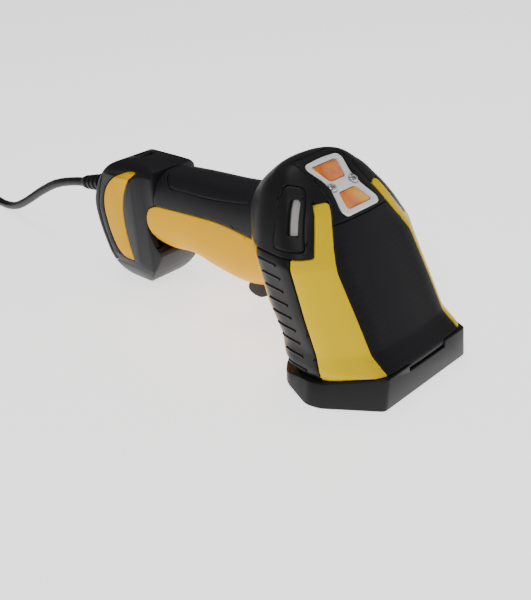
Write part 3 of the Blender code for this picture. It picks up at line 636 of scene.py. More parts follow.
def headSolid():
    heights = [1.2, 5.0, 8.0] + [9.0 + 0.9 * k for k in range(15)] + [22.6 + 2.2 * k for k in range(14)]
    heights += [52.4 + 1.0 * k for k in range(6)] + [59.0 + 1.45 * k for k in range(19)] + [86.3]
    rings = [[(x, y, z) for x, y in evenRing(headRing(z))] for z in heights]
    for z, inset in ((86.9, 0.35), (87.3, 1.0), (87.55, 2.2)):
        rings.append([(x, y, z) for x, y in evenRing(headRing(z, inset))])
    return lofted(rings)


def coarseHead(skip=()):
    rings = []
    for z, half in head["sections"]:
        if z not in skip:
            radii = head["fillets"] + head["fillets"][-2:0:-1]
            rings.append([(x, y, z) for x, y in rounded(bothSides(half), radii, 2)])
    count = min(len(r) for r in rings)
    rings = [[(*p, ring[0][2]) for p in evenRing([q[:2] for q in ring], 72)] for ring in rings]
    return lofted(rings)


def edgeAt(z):
    return 23.6 - 10.7 * min(1.0, max(0.0, z - 54.0) / (head["legTop"] - 54.0))


def rimAt(y):
    return 15.1 - 0.16 * (y + 2.0)


def underRim(grow):
    return prism([(-20, -10), (-20, rimAt(-20) + grow), (120, rimAt(120) + grow), (120, -10)], "X", -60, 60)


def coverRegion():
    right = [(edgeAt(5.0), 5.0), (edgeAt(54.0), 54.0), (edgeAt(head["coverTop"]), head["coverTop"])]
    return prism(bothSides(right), "Y", -10, 42)


def insertRegion():
    step, top = head["stepHeight"], head["legTop"]
    inner = [(edgeAt(z) + gap, z) for z in (5.0, 54.0, top)]
    outer = [(head["legOuter"][1], top), (head["legOuter"][0], step), (44.0, step), (44.0, 5.0)]
    outline = inner + outer
    outline = rounded(outline, [0.2, 3.0, 1.6, 1.6, 1.4, 0.2, 0.2], 4)
    side = prism([(-20, 0), (19.9, 0), (40.5, 59.5), (54, 90), (-20, 90)], "X", 0, 60)
    return carve(prism(outline, "Y", -10, 60), keep=[side])


def bezelRegion(grow=0.0):
    low = head["coverTop"] + gap - grow
    right = [(edgeAt(low) + grow, low), (edgeAt(head["legTop"]) + grow, head["legTop"]),
             (head["surroundHalf"] + grow, 92.0)]
    return prism(bothSides(right), "Y", -10, head["surroundEnd"] + grow)


def frontRegion(grow):
    step, top, (foot, peak) = head["stepHeight"], head["legTop"], head["legOuter"]
    right = [(foot + grow + 1.2, step - 4.0), (foot + grow, step), (peak + grow, top + grow),
             (edgeAt(top) + grow, top + grow), (head["surroundHalf"] + grow, 92.0)]
    return prism(bothSides(right), "Y", -10, head["surroundEnd"] + grow)


headForm = headSolid()
headInside = grown(coarseHead((11.0, 14.5)), -head["wall"])
hollow = carve(headForm, away=[headInside])
skin = carve(hollow, away=[underRim(gap)])
print("head formed")

side, top = head["notch"]
tongue = carve(block((-side + gap, -20, 0), (side - gap, 12, 20)),
               away=[block((-60, -30, -20), (60, 30, top + gap))])
cover = carve(hollow, keep=[coverRegion()], away=[carve(underRim(gap), away=[tongue])])
release(cover, "frontCover", finishes["cover"], ["top_cover"], 0.35, weld=0.2)

insert = carve(skin, keep=[insertRegion()])
release(mirrored(insert), "lemonInsertLeft", finishes["lemon"], ["side_insert_left"], 0.35, 3, weld=0.2)
release(insert, "lemonInsertRight", finishes["lemon"], ["side_insert_right"], 0.35, 3, weld=0.2)

# rubber strips with a ladder of ribs
ribs = dict(count=9, lowest=12.6, spacing=5.25, barRadius=0.62, barSides=10, frontGap=7.0)


# a node tree with named inputs that ends in plain painted mesh
class Tree:
    def __init__(self, name, inputs):
        self.tree = bpy.data.node_groups.new(name, "GeometryNodeTree")
        made = self.tree.interface
        self.sockets = {}
        for label, kind in inputs.items():
            socket = made.new_socket(label, in_out="INPUT", socket_type="NodeSocket" + kind)
            self.sockets[label] = socket.identifier
        made.new_socket("Made", in_out="OUTPUT", socket_type="NodeSocketGeometry")
        self.into = self.tree.nodes.new("NodeGroupInput").outputs
        self.out = self.tree.nodes.new("NodeGroupOutput").inputs

    def add(self, kind, values=None, **settings):
        node = self.tree.nodes.new(kind)
        for key, value in settings.items():
            setattr(node, key, value)
        for key, value in (values or {}).items():
            for item in value if isinstance(value, list) else [value]:
                if isinstance(item, bpy.types.NodeSocket):
                    self.tree.links.new(item, node.inputs[key])
                else:
                    node.inputs[key].default_value = item
        return node.outputs[0]

    def maths(self, operation, first, second):
        return self.add("ShaderNodeMath", {0: first, 1: second}, operation=operation)

    def ended(self, geometry):
        real = self.add("GeometryNodeRealizeInstances", {0: geometry})
        paint = self.add("GeometryNodeSetMaterial", {0: real, "Material": self.into["Finish"]})
        self.tree.links.new(paint, self.out[0])
        return self


# runs a node tree on an object and returns the plain mesh object
def grownByTree(ob, made, values):
    step = ob.modifiers.new("tree", "NODES")
    step.node_group = made.tree
    for label, value in values.items():
        step[made.sockets[label]] = value
    return settled(ob)


def ribBarTree():
    made = Tree("ribBars", {"Lines": "Geometry", "Bar radius": "Float", "Bar sides": "Int",
                            "Finish": "Material"})
    circle = made.add("GeometryNodeCurvePrimitiveCircle",
                      {"Radius": made.into["Bar radius"], "Resolution": made.into["Bar sides"]})
    return made.ended(made.add("GeometryNodeCurveToMesh", {"Curve": made.into["Lines"],
                                                           "Profile Curve": circle, "Fill Caps": True}))


def ribLines(side):
    curve = bpy.data.curves.new("ribLines", "CURVE")
    curve.dimensions = "3D"
    for k in range(ribs["count"]):
        z = ribs["lowest"] + ribs["spacing"] * k
        front = 20.8 + (z - 1.0) * 19.8 / 57.0 + ribs["frontGap"]
        rear = 41.2 + (z - 1.0) * 19.8 / 57.0 - 1.4
        ring = evenRing(headRing(z), 220)
        line = [p for p in ring[:110] if front <= p[1] <= rear and p[0] > 15]
        spline = curve.splines.new("POLY")
        spline.points.add(len(line) - 1)
        for point, (x, y) in zip(spline.points, line):
            point.co = (side * (x - 0.12), y, z, 1)
    ob = bpy.data.objects.new("ribLines", curve)
    scraps.objects.link(ob)
    return ob


strip = prism([(20.8, 1.0), (40.6, 58.0), (60.6, 58.0), (40.8, 1.0)], "X", 20, 60)
pad = carve(skin, keep=[strip])
ribTree = ribBarTree()
barSizes = {"Bar radius": ribs["barRadius"], "Bar sides": ribs["barSides"], "Finish": finishes["ribs"]}
for sign, tag in ((-1, "left"), (1, "right")):
    piece = mirrored(pad) if sign < 0 else copyOf(pad)
    release(piece, "ribStrip_" + tag, finishes["ribs"], ["side_rib_pad_" + tag], 0.4)
    bars = grownByTree(ribLines(sign), ribTree, barSizes)
    release(bars, "ribBars_" + tag, finishes["ribs"], edge=0, weld=0.001)
    "side_rib_pad_" + tag
print("inserts and ribs made")

# cover on the trigger's side, with its four screws
rearRegion = prism([(41.2, 1.0), (61.0, 58.0), (95.0, 58.0), (95.0, 1.0)], "X", -60, 60)
wirePassage = turned([(8.0, 0), (8.0, 40)], (0, 60, 53), (0, 1, 0))
rearNormal = Vector((0, 18.5, -12.0)).normalized()
rearScrews = []
for x, z in ((-19, 22), (19, 22), (-20.4, 45), (20.4, 45)):
    half = sectionAt(z)
    t = abs(x) / half[5][0]
    rearScrews.append(Vector((x, half[6][1] + (half[5][1] - half[6][1]) * t, z)))
wells = [turned([(2.5, -1.3), (2.5, 5)], spot, rearNormal) for spot in rearScrews]
rearCover = carve(skin, keep=[rearRegion], away=[wirePassage] + wells)
release(rearCover, "triggerSideCover", finishes["warm"], ["trigger_side_cover"], 0.4)

# rear cap with its flush side panels
cap = carve(hollow, keep=[block((-60, -20, 58.0 + gap), (60, 100, 95))], away=[frontRegion(gap), wirePassage])
panel = dict(outline=[(36.4, 60.8), (42.8, 76.0), (46.4, 80.8), (53.8, 82.0), (49.8, 60.8)],
             corners=[2.0, 3.0, 3.0, 2.5, 2.5], slot=[(40.4, 66.0), (45.2, 77.6), (48.4, 77.6), (44.2, 66.0)])


def panelPrism(outline, radii, grow, sign):
    ends = (12, 60) if sign > 0 else (-60, -12)
    return prism(rounded(widened(outline, grow), radii, 5), "X", *ends)


outer, deep, shallow = grown(headForm, 1.0), grown(headForm, -1.5), grown(headForm, -1.2)
underGlass = grown(headForm, -0.75)
for sign, tag in ((-1, "left"), (1, "right")):
    pocket = carve(panelPrism(panel["outline"], panel["corners"], gap * 0.9, sign), keep=[outer], away=[deep])
    cap = carve(cap, away=[pocket])
    opening = panelPrism(panel["slot"], 0.9, 0.1, sign)
    face = carve(panelPrism(panel["outline"], panel["corners"], 0.0, sign), keep=[headForm],
                 away=[shallow, opening])
    release(face, "sidePanel_" + tag, finishes["shell"], ["side_panel_" + tag], 0.4)
    pane = carve(panelPrism(panel["slot"], 0.9, 0.0, sign), keep=[underGlass], away=[grown(headForm, -1.4)])
    release(pane, "slotWindow_" + tag, finishes["window"], ["side_window_" + tag], 0.12)
release(cap, "rearCap", finishes["shell"], ["head_rear_cap"], 0.5, 3)
print("rear cap made")

# indicator: a white figure of eight with two amber windows in a raised black surround

indicator = dict(
    tilt=36.6, middle=(0.0, 42.6, 76.9), thick=1.7,
    half=[(9.4, -13.2), (10.6, -10.6), (8.4, -2.0), (8.2, 3.4), (10.7, 11.6), (9.4, 14.4), (0.0, 15.0)],
    corners=[2.2, 2.2, 4.0, 4.0, 3.0, 2.6, 3.0, 2.6, 3.0, 4.0, 4.0, 2.2, 2.2],
    rearWindow=[(-7.4, 12.2), (7.4, 12.2), (4.6, 3.4), (-4.6, 3.4)],
    frontWindow=[(-5.0, -2.6), (5.0, -2.6), (7.2, -10.6), (-7.2, -10.6)],
    screws=[(-6.5, 0.3), (6.5, 0.3)])
plateTurn = Matrix.Translation(indicator["middle"]) @ Matrix.Rotation(math.radians(indicator["tilt"]), 4, "X")


def onPlate(outline, low, high):
    return prism(outline, "Z", low, high, plateTurn)


plateOutline = rounded(bothSides(indicator["half"]), indicator["corners"], 7)
windowOutlines = [rounded(indicator[key], 1.4, 6) for key in ("rearWindow", "frontWindow")]
seats = [onPlate(widened(w, gap), -8, 8) for w in windowOutlines]
screwUp = plateTurn.to_3x3() @ Vector((0, 0, 1))
screwSpots = [plateTurn @ Vector((x, y, 0)) for x, y in indicator["screws"]]
counterbores = [turned([(2.15, 1.1), (2.15, 8)], spot, screwUp) for spot in screwSpots]
below = onPlate([(-60, -60), (60, -60), (60, 60), (-60, 60)], -40, -2.6)
surround = carve(headForm, keep=[bezelRegion()],
                 away=[onPlate(widened(plateOutline, gap), 0, 12), below] + seats)
release(surround, "indicatorSurround", finishes["shell"], ["indicator_bezel"], 0.55, 3)
facePlate = carve(onPlate(plateOutline, gap, indicator["thick"]), away=seats + counterbores)
release(facePlate, "indicatorFace", finishes["white"], ["indicator_plate"], 0.4, 3)
for outline, tag in zip(windowOutlines, ("rear", "front")):
    release(onPlate(outline, -3.2, 1.25), "amberWindow_" + tag, finishes["amber"],
            ["indicator_lens_" + tag], 0.45, 3)

# screws: one turned head with a six-sided socket, repeated

def screwTree():
    sizes = ("Head radius", "Head height", "Socket radius", "Socket depth", "Shank radius", "Shank length")
    made = Tree("screws", dict(Spots="Geometry", **{label: "Float" for label in sizes}, Finish="Material"))
    add, into = made.add, made.into

    def barrel(sides, radius, depth, topRadius=None):
        return add("GeometryNodeMeshCone", {"Vertices": sides, "Radius Bottom": radius, "Depth": depth,
                                            "Radius Top": topRadius or radius})

    def times(value, factor):
        return made.maths("MULTIPLY", value, factor)

    def lifted(mesh, height):
        spot = add("ShaderNodeCombineXYZ", {"Z": height})
        return add("GeometryNodeTransform", {"Geometry": mesh, "Translation": spot})

    wide, tall, depth, shankLength = (into[key] for key in ("Head radius", "Head height", "Socket depth",
                                                            "Shank length"))
    lower = barrel(32, wide, times(tall, 0.7))
    upper = lifted(barrel(32, wide, times(tall, 0.3), times(wide, 0.82)), times(tall, 0.7))
    socket = lifted(barrel(6, into["Socket radius"], times(depth, 1.5)), made.maths("SUBTRACT", tall, depth))
    shank = lifted(barrel(20, into["Shank radius"], shankLength), times(shankLength, -0.98))
    union = add("GeometryNodeMeshBoolean", {"Mesh 2": [lower, upper, shank]}, operation="UNION",
                solver="MANIFOLD")
    drilled = add("GeometryNodeMeshBoolean", {"Mesh 1": union, "Mesh 2": socket}, operation="DIFFERENCE",
                  solver="MANIFOLD")
    facing = add("GeometryNodeInputNamedAttribute", {"Name": "facing"}, data_type="FLOAT_VECTOR")
    turn = add("FunctionNodeAlignRotationToVector", {"Vector": facing}, axis="Z")
    return made.ended(add("GeometryNodeInstanceOnPoints", {"Points": into["Spots"], "Rotation": turn,
                                                           "Instance": drilled}))


screwNodes = screwTree()


def makeScrews(name, spots, directions, sizes, nodes):
    mesh = bpy.data.meshes.new(name)
    mesh.from_pydata([tuple(p) for p in spots], [], [])
    facing = mesh.attributes.new("facing", "FLOAT_VECTOR", "POINT")
    for item, direction in zip(facing.data, directions):
        item.vector = direction
    ob = bpy.data.objects.new(name, mesh)
    scraps.objects.link(ob)
    made = grownByTree(ob, screwNodes, dict(sizes, Finish=finishes["steel"]))
    for old in list(made.data.attributes):
        if old.name == "facing":
            made.data.attributes.remove(old)
    return release(made, name, finishes["steel"], nodes, edge=0.12, steps=2, weld=0.01)


small = {"Head radius": 1.95, "Head height": 1.5, "Socket radius": 0.95, "Socket depth": 0.8,
         "Shank radius": 0.95, "Shank length": 5.0}
large = {"Head radius": 2.1, "Head height": 1.3, "Socket radius": 1.0, "Socket depth": 0.7,
         "Shank radius": 0.95, "Shank length": 6.5}
makeScrews("indicatorScrews", [spot + screwUp * 1.15 for spot in screwSpots], [screwUp] * 2, small,
           ["indicator_screw_left", "indicator_screw_right"])
makeScrews("headScrews", [spot - rearNormal * 1.2 for spot in rearScrews], [rearNormal] * 4, large,
           ["head_screw_%d" % (i + 1) for i in range(4)])
print("indicator and screws made")

# nose bumper

bumper = dict(
    low=[(27.7, 0.4), (42.0, 22.3), (43.2, 28.4), (38.6, 43.6), (29.8, 51.0), (0.0, 53.0)],
    high=[(25.9, -0.2), (38.0, 20.2), (38.2, 28.2), (36.0, 44.8), (28.2, 52.2), (0.0, 54.2)],
    corners=[1.8, 2.2, 2.2, 3.0, 3.0, 3.0, 3.0, 3.0, 2.2, 2.2, 1.8], tall=18.0)


def bumperForm():
    rings = []
    steps = ((0.0, 0.0, 0.9), (0.35, 0.0, 0.25), (0.95, 0.05, 0.0), (bumper["tall"], 1.0, 0.0))
    for z, share, inset in steps:
        half = [tuple(Vector(a).lerp(Vector(b), share)) for a, b in zip(bumper["low"], bumper["high"])]
        outline = rounded(bothSides(half), bumper["corners"], 6)
        if inset:
            outline = widened(outline, -inset)
        rings.append([(x, y, z) for x, y in outline])
    return lofted(rings)


noseHalf = [tuple(p) for p in sectionAt(7.0)]
noseOutline = bothSides(noseHalf)
mouth = prism(rounded(widened(noseOutline, -8.0), 3.0, 5), "Z", -5, 6.2)
aboveRim = prism([(-20, rimAt(-20)), (-20, 60), (120, 60), (120, rimAt(120))], "X", -60, 60)
rearRise = prism([(28.8, -5), (28.8, 0), (56, 4.6), (70, 4.6), (70, -5)], "X", -60, 60)
notch = block((-head["notch"][0], -8, head["notch"][1]), (head["notch"][0], 12, 30))
headRoom = grown(coarseHead((11.0, 14.5)), -head["wall"] - 0.1)
nose = carve(bumperForm(), away=[aboveRim, headRoom, mouth, rearRise, notch])
release(nose, "noseBumper", finishes["bumper"], ["nose_bumper"], 0.5, 3)
print("bumper made")

# handle

handle = dict(
    sections=[(58.0, 17.0, 69.0, 34.0), (70.0, 17.0, 70.3, 28.0), (78.0, 17.0, 70.2, 24.0),
              (88.0, 16.3, 69.0, 21.0), (97.0, 15.7, 68.3, 20.0), (106.0, 15.2, 67.8, 20.5),
              (116.0, 14.8, 67.5, 22.0), (132.0, 14.6, 66.8, 25.0), (148.0, 14.8, 65.4, 24.0),
              (161.0, 15.0, 62.0, 26.0)],
    wall=2.4, power=2.5, border=[(60.0, 49.2), (83.0, 50.2), (103.0, 51.6), (150.0, 49.4)],
    gripEnd=[(156.0, 46.6), (158.4, 41.0), (158.2, 34.0), (155.6, 28.0), (150.0, 10.0), (60.0, 10.0)],
    triggerSlot=[(60.0, 10.0), (60.0, 48.9), (87.0, 48.9), (101.5, 30.0), (101.5, 10.0)],
    padStart=84.5, padEnd=137.0, padHalf=11.8)


def handleAt(y):
    rows = handle["sections"]
    for i in range(len(rows) - 1):
        if rows[i][0] <= y <= rows[i + 1][0]:
            t = (y - rows[i][0]) / (rows[i + 1][0] - rows[i][0])
            span = rows[i + 1][0] - rows[i][0]
            mixed = []
            for c in range(1, 4):
                before = rows[max(i - 1, 0)]
                after = rows[min(i + 2, len(rows) - 1)]
                m0 = (rows[i + 1][c] - before[c]) / max(1e-6, rows[i + 1][0] - before[0]) * span
                m1 = (after[c] - rows[i][c]) / max(1e-6, after[0] - rows[i][0]) * span
                mixed.append((2 * t ** 3 - 3 * t ** 2 + 1) * rows[i][c] + (t ** 3 - 2 * t ** 2 + t) * m0
                             + (3 * t ** 2 - 2 * t ** 3) * rows[i + 1][c] + (t ** 3 - t ** 2) * m1)
            return mixed


def handleSolid(inset=0.0, points=72):
    rings = []
    for k in range(53):
        y = 58.0 + 103.0 * k / 52
        half, top, bottom = handleAt(y)
        half, rise = half - inset, (top - bottom) / 2 - inset
        ring = []
        for j in range(points):
            a = 2 * math.pi * (j + 0.5) / points
            c, s = math.cos(a), math.sin(a)
            power = 2 / handle["power"]
            ring.append((math.copysign(abs(c) ** power, c) * half, y,
                         (top + bottom) / 2 + math.copysign(abs(s) ** power, s) * rise))
        rings.append(ring)
    return lofted(rings)


handleForm = handleSolid()
handleBore = handleSolid(handle["wall"], 40)
# the bore runs out past both ends
handleBore.data.transform(Matrix.Translation((0, 110, 0)) @ Matrix.Diagonal((1, 1.06, 1, 1))
                          @ Matrix.Translation((0, -110, 0)))
headClear = grown(coarseHead((11.0, 14.5)), 0.15)
handleShell = carve(handleForm, away=[handleBore, headClear])
gripCorners = [0.2, 9.0, 12.0, 5.0, 5.0, 5.0, 5.0, 6.0, 0.2, 0.2]
gripOutline = rounded(handle["border"] + handle["gripEnd"], gripCorners, 6)
backOutline = [(y, z + gap) for y, z in handle["border"][:3]]
backOutline += [(150.0, 49.7), (150.9, 49.5), (150.9, 80), (60, 80)]
backOutline = rounded(backOutline, [0.2, 9.0, 12.0, 0.2, 0.1, 0.1, 0.1], 6)
triggerSlot = prism(handle["triggerSlot"], "X", -8, 8)
grip = carve(handleShell, keep=[prism(gripOutline, "X", -30, 30)], away=[triggerSlot])
release(grip, "yellowGrip", finishes["warm"], ["handle_front_grip"], 0.5, 3)
padOutline = [(handle["padHalf"], handle["padStart"])]
for k in range(13):
    a = math.radians(7.5 * k)
    padOutline.append((1.2 + 10.6 * math.cos(a), handle["padEnd"] + 10.6 * math.sin(a)))
padOutline = bothSides(padOutline)
padOutline = rounded(padOutline, [3.0] + [0.3] * (len(padOutline) - 2) + [3.0], 4)
padPocket = carve(prism(widened(padOutline, gap), "Z", 50, 90), keep=[handleSolid(-1.5)],
                  away=[handleSolid(1.3)])
back = carve(handleShell, keep=[prism(backOutline, "X", -30, 30)], away=[padPocket])
release(back, "handleBack", finishes["handle"], ["handle_back_shell"], 0.45, 3)
padPiece = carve(prism(padOutline, "Z", 50, 90), keep=[handleForm], away=[handleSolid(1.0)])
release(padPiece, "handlePad", finishes["pad"], ["handle_back_pad"], 0.5, 3)
print("handle made")

trigger = dict(outline=[(75.4, 47.6), (74.6, 43.5), (74.8, 36.0), (76.6, 29.0), (79.6, 22.5), (83.5, 17.6),
                        (88.0, 15.2), (92.4, 15.4), (95.6, 16.9), (96.4, 19.0), (95.0, 21.8), (91.0, 27.6),
                        (84.0, 28.2), (83.0, 34.0), (82.6, 40.0), (81.4, 47.8)], half=7.5, pivot=(79.0, 45.0))
bladeOutline = rounded(trigger["outline"], 3.0, 4)
blade = carve(prism(bladeOutline, "X", -trigger["half"], trigger["half"]),
              away=[turned([(1.35, -20), (1.35, 20)], (0, *trigger["pivot"]), (1, 0, 0))])
release(blade, "triggerBlade", finishes["handle"], ["trigger"], 1.0, 4, body="trigger_blade", weld=0.02)

spring = dict(y=87.4, low=29.2, high=47.2, radius=2.2, wire=0.32, turns=6, steps=16, pressed=0.84)


# the trigger's return spring, closed at both ends
def makeSpring():
    rings = []
    count = spring["turns"] * spring["steps"]
    for k in range(count + 1):
        a = 2 * math.pi * k / spring["steps"]
        middle = Vector((spring["radius"] * math.cos(a), spring["y"] + spring["radius"] * math.sin(a),
                         spring["low"] + (spring["high"] - spring["low"]) * k / count))
        out = Vector((math.cos(a), math.sin(a), 0))
        rings.append([middle + spring["wire"] * (out * math.cos(t) + Vector((0, 0, math.sin(t))))
                      for t in [2 * math.pi * j / 10 for j in range(10)]])
    made = release(lofted(rings), "triggerSpring", finishes["steel"], ["trigger_spring"], edge=0, weld=0.001)
    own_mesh(made)


makeSpring()

# foot of the handle

foot = dict(
    half=15.8, radius=3.2, wall=3.0,
    outline=[(160.0, 67.2), (172.0, 67.8), (182.0, 65.6), (191.0, 59.8), (198.0, 51.0), (202.0, 41.0),
             (201.0, 30.0), (197.0, 18.0), (191.0, 6.5), (186.0, 1.2), (183.0, 0.0), (172.0, 0.0),
             (165.0, 4.0), (158.0, 11.5)],
    front=[(151.0, 21.5), (151.0, 65.4)],
    behind=[(6.5, -1.5), (10.2, 2.0), (13.2, 7.0), (15.1, 13.0), (16.9, 22.0), (16.9, 54.0), (15.2, 60.5),
            (12.6, 64.6), (8.6, 67.3), (4.0, 69.0)],
    above=[(14.2, 148.0), (14.5, 157.0), (15.3, 165.0), (16.6, 174.0), (17.4, 210.0)],
    gripEnd=[(140.0, 49.4), (150.0, 49.4), (156.0, 46.6), (158.4, 41.0), (158.2, 34.0), (155.6, 28.0),
             (153.2, 24.4), (140.0, 23.9)],
    crescent=[(163.5, 63.4), (169.5, 63.2), (182.0, 58.0), (190.0, 50.0), (193.0, 40.0), (190.6, 27.0),
              (186.0, 17.5), (180.0, 14.0), (173.0, 14.5), (176.5, 27.0), (177.0, 40.0), (174.5, 50.0),
              (169.0, 58.6)],
    crescentCorners=[1.2, 3.0, 6.0, 6.0, 5.0, 5.0, 5.0, 2.0, 1.0, 8.0, 8.0, 8.0, 5.0],
    cap=[(189.2, 58.4), (193.0, 52.5), (197.4, 41.0), (196.4, 30.0), (192.4, 18.0), (188.6, 10.5),
         (215.0, 2.0), (215.0, 68.0)],
    screws=[(-9.0, 197.3, 22.0), (9.0, 197.3, 22.0)])


# the point at t between one point of an open run and the next, on a smooth curve
def alongRun(points, i, t):
    p0, p1, p2, p3 = (Vector(points[min(max(k, 0), len(points) - 1)]) for k in (i - 1, i, i + 1, i + 2))
    return 0.5 * (2 * p1 + (p2 - p0) * t + (2 * p0 - 5 * p1 + 4 * p2 - p3) * t ** 2
                  + (3 * p1 - p0 - 3 * p2 + p3) * t ** 3)


# the outline drawn smoothly, its straight front edge kept
def footOutline():
    points = foot["outline"]
    smooth = [alongRun(points, i, k / 5) for i in range(len(points) - 1) for k in range(5)]
    return foot["front"][1:] + [(p.x, max(0.0, p.y)) for p in smooth] + points[-1:] + foot["front"][:1]


# an open run of points, filled in between, with its long stretches left straight
def smoothRun(points, steps=4, longest=20):
    done = []
    for i in range(len(points) - 1):
        straight = (Vector(points[i + 1]) - Vector(points[i])).length > longest
        done += [tuple(alongRun(points, i, k / steps)) for k in range(1 if straight else steps)]
    return done + [tuple(points[-1])]


def footSolid(grow=0.0):
    outline = footOutline()
    rows = []
    for k in range(6):
        a = math.pi / 2 * k / 5
        rows.append((foot["radius"] * (1 - math.cos(a)), foot["radius"] * (1 - math.sin(a))))
    rings = []
    for depth, inset in rows + [(2 * foot["half"] - d, i) for d, i in reversed(rows)]:
        flat = widened(outline, grow - inset * 0.9)
        x = (depth - foot["half"]) * (foot["half"] + grow) / foot["half"]
        rings.append([(x, y, z) for y, z in flat])
    behind = smoothRun(bothSides(foot["behind"]))
    above = smoothRun(bothSides(foot["above"]))
    return carve(lofted(rings), keep=[prism(widened(behind, grow), "Y", 120, 240),
                                      prism(widened(above, grow), "Z", -30, 100)])


footForm = footSolid()
footBore = footSolid(-foot["wall"])
gripRoom = prism(widened(rounded(foot["gripEnd"], 3.0, 4), gap), "X", -40, 40)
footShell = carve(footForm, away=[footBore, turned([(9.0, 0), (9.0, 25)], (0, 140, 44), (0, 1, 0)), gripRoom])
housing = carve(footShell, away=[prism(widened(rounded(foot["cap"], 3.0, 4), gap), "X", -40, 40)])
endCap = carve(footShell, keep=[prism(rounded(foot["cap"], 3.0, 4), "X", -40, 40)])
crescentOutline = rounded(foot["crescent"], foot["crescentCorners"], 6)
for sign, tag in ((-1, "left"), (1, "right")):
    ends = (8, 30) if sign > 0 else (-30, -8)
    pocket = carve(prism(widened(crescentOutline, gap * 1.3), "X", *ends), keep=[footSolid(1.0)],
                   away=[footSolid(-1.8)])
    housing = carve(housing, away=[pocket])
    inlay = carve(prism(crescentOutline, "X", *ends), keep=[footSolid(0.0)], away=[footSolid(-1.5)])
    release(inlay, "footInlay_" + tag, finishes["warm"], ["base_insert_" + tag], 0.5, 3)
housing = carve(housing, add=[block((-6.4, 166.6, 58.0), (6.4, 183.0, 63.4))])
housing = carve(housing, away=[block((-4.6, 169.0, 60.0), (4.6, 180.6, 80.0))])
release(housing, "footHousing", finishes["foot"], ["base_housing"], 0.4, 2)
bar = prism(rounded([(173.0, 63.4), (176.6, 63.4), (176.6, 66.9), (173.0, 66.9)], 1.2, 4), "X", -4.3, 4.3)
release(bar, "lanyardBar", finishes["foot"], ["lanyard_bar"], 0.2)
cordHole = turned([(3.9, -12), (3.9, -1.6), (4.9, -1.6), (4.9, 8)], outlet, leaving)
screwHoles = [turned([(1.25, -12), (1.25, -0.3), (2.5, -0.3), (2.5, 12)], spot, (0, 1, 0))
              for spot in foot["screws"]]
endCap = carve(endCap, away=[cordHole] + screwHoles)
release(endCap, "footEndCap", finishes["foot"], ["base_end_cap"], 0.4, 2)
makeScrews("footScrews", foot["screws"], [(0, 1, 0)] * 2, large, ["base_screw_1", "base_screw_2"])
print("foot made")

# strain relief: a tapered sleeve with rings along it

relief = dict(rings=6, first=5.0, step=4.4, radius=5.4, shrink=0.055, width=2.6)


def reliefTree():
    made = Tree("reliefRings", dict(Ring="Geometry", Rings="Int", First="Float", Step="Float",
                                    Shrink="Float", Finish="Material"))
    start = made.add("ShaderNodeCombineXYZ", {"Z": made.into["First"]})
    offset = made.add("ShaderNodeCombineXYZ", {"Z": made.into["Step"]})
    line = made.add("GeometryNodeMeshLine", {"Start Location": start, "Offset": offset,
                                             "Count": made.into["Rings"]})
    less = made.maths("MULTIPLY", made.add("GeometryNodeInputIndex"), made.into["Shrink"])
    return made.ended(made.add("GeometryNodeInstanceOnPoints", {
        "Points": line, "Instance": made.into["Ring"], "Scale": made.maths("SUBTRACT", 1.0, less)}))


def ringProfile(radius, width):
    w, r = width / 2, radius
    return [(3.0, -w), (r - 0.5, -w), (r - 0.1, -w + 0.25), (r, 0), (r - 0.1, w - 0.25), (r - 0.5, w),
            (3.0, w)]


sleeve = turned([(3.5, -9.0), (3.5, -0.6), (4.2, 0.2), (4.3, 2.0), (3.9, cord["relief"] * 0.6),
                 (3.2, cord["relief"] - 0.6), (2.8, cord["relief"])], outlet, leaving)
release(sleeve, "reliefSleeve", finishes["cord"], ["strain_relief"], edge=0)
reliefSizes = {"Rings": relief["rings"], "First": relief["first"], "Step": relief["step"],
               "Shrink": relief["shrink"], "Finish": finishes["cord"]}
ring = turned(ringProfile(relief["radius"], relief["width"]), (0, 0, 0), (0, 0, 1))
rings = grownByTree(ring, reliefTree(), reliefSizes)
rings.data.transform(Matrix.Translation(outlet) @ leaving.to_track_quat("Z", "Y").to_matrix().to_4x4())
release(rings, "reliefRings", finishes["cord"], edge=0, weld=0.001)

# plug

plug = dict(low=(-46.0, 435.9, 0.0), high=(-21.0, 450.9, 8.0),
            shell=((-58.3, 437.4, 1.8), (-46.3, 449.4, 6.3)))
(x0, y0, z0), (x1, y1, z1) = plug["low"], plug["high"]
neck = [(x0, y0 + 0.2), (x1 - 7, y0 + 0.2), (x1 - 0.2, y0 + 3.6),
        (x1 - 0.2, y1 - 3.6), (x1 - 7, y1 - 0.2), (x0, y1 - 0.2)]
neck = rounded(neck, [1.0, 4.0, 1.5, 1.5, 4.0, 1.0], 5)
plugBody = prism(neck, "Z", z0 + 0.05, z1)
grooves = []
for k in range(4):
    x = x1 - 12.5 + 2.4 * k
    grooves += [block((x, y0 - 1, z1 - 0.5), (x + 1.0, y1 + 1, z1 + 1)),
                block((x, y0 - 1, -1), (x + 1.0, y0 + 0.9, 9)),
                block((x, y1 - 0.9, -1), (x + 1.0, y1 + 1, 9))]
release(carve(plugBody, away=grooves), "plugBody", finishes["cord"], ["usb_plug_body"], 0.35, 3)
(sx0, sy0, sz0), (sx1, sy1, sz1) = plug["shell"]
shell = carve(block(plug["shell"][0], plug["shell"][1]),
              away=[block((sx0 - 1, sy0 + 0.4, sz0 + 0.4), (sx1 - 1, sy1 - 0.4, sz1 - 0.4))]
              + [block((sx0 + 4.4, sy0 + s, sz1 - 1), (sx0 + 6.6, sy0 + s + 2.4, sz1 + 1))
                 for s in (2.2, 7.4)])
shell = carve(shell, add=[block((sx0 + 0.6, sy0 + 0.2, sz0 + 0.2), (sx1 - 0.5, sy1 - 0.2, sz0 + 2.2))])
release(shell, "plugShell", finishes["steel"], ["usb_plug_shell"], 0.12)
print("cord fittings made")

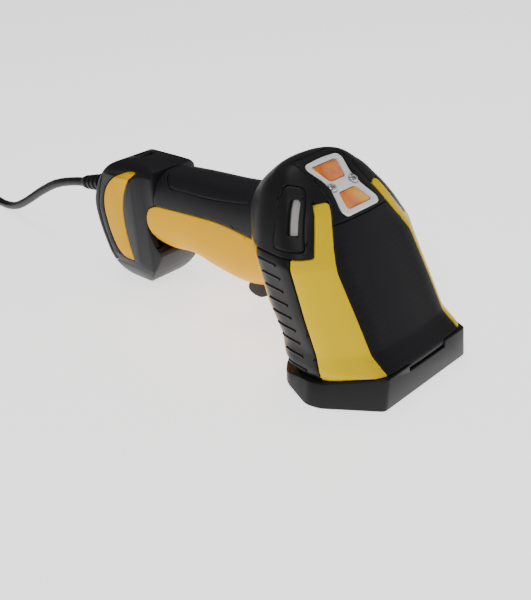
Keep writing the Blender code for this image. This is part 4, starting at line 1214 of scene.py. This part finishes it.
# what stays as it is inside gets its own finish

inside = dict(
    shell=["head_frame", "beeper", "trigger_switch_body"], glass=["scan_window", "imager_lens"],
    clear=["illumination_lens_left", "illumination_lens_right"],
    red=["aiming_lens", "trigger_switch_plunger"],
    board=["main_board", "indicator_board", "trigger_switch_board"], castMetal=["scan_engine_housing"],
    steel=["processor_shield", "trigger_pin", "vibration_motor"], cream=["cable_connector"],
    cord=["window_gasket"])
for key, names in inside.items():
    for name in names:
        node = bpy.data.objects[name]
        node.data.materials.clear()
        node.data.materials.append(finishes[key])

# floor and light

lighting = dict(
    floor=1.5, world=0.14, aim=(0, 0.08, 0.03),
    lamps=dict(keyLight=((-0.55, -0.25, 0.75), 0.45, 3.2), topLight=((0.15, 0.35, 1.0), 0.5, 2.6),
               fillLight=((0.7, -0.3, 0.5), 0.6, 0.9)))      # spot, size and power


def makeFloor():
    bm = bmesh.new()
    bmesh.ops.create_grid(bm, x_segments=2, y_segments=2, size=4.0)
    mesh = bpy.data.meshes.new("floor")
    bm.to_mesh(mesh)
    bm.free()
    floor = bpy.data.objects.new("floor", mesh)
    scene.collection.objects.link(floor)
    made = Finish("paleFloor", Roughness=0.22, Specular_IOR_Level=0.35)
    made.shader.inputs["Base Color"].default_value = (0.97, 0.97, 0.97, 1)
    made.shader.inputs["Emission Color"].default_value = (1, 1, 1, 1)
    made.shader.inputs["Emission Strength"].default_value = lighting["floor"]
    mesh.materials.append(made.made)


def areaLight(name, spot, size, power):
    data = bpy.data.lights.new(name, "AREA")
    data.shape = "SQUARE"
    data.size = size
    data.energy = power
    ob = bpy.data.objects.new(name, data)
    scene.collection.objects.link(ob)
    ob.location = spot
    ob.rotation_euler = (Vector(spot) - Vector(lighting["aim"])).to_track_quat("Z", "Y").to_euler()


makeFloor()
world = bpy.data.worlds.new("world")
scene.world = world
world.use_nodes = True
world.node_tree.nodes["Background"].inputs[0].default_value = (1, 1, 1, 1)
world.node_tree.nodes["Background"].inputs[1].default_value = lighting["world"]
for name, lamp in lighting["lamps"].items():
    areaLight(name, *lamp)

for ob in list(scraps.objects):
    bpy.data.objects.remove(ob, do_unlink=True)
bpy.data.collections.remove(scraps)
print("scene ready")
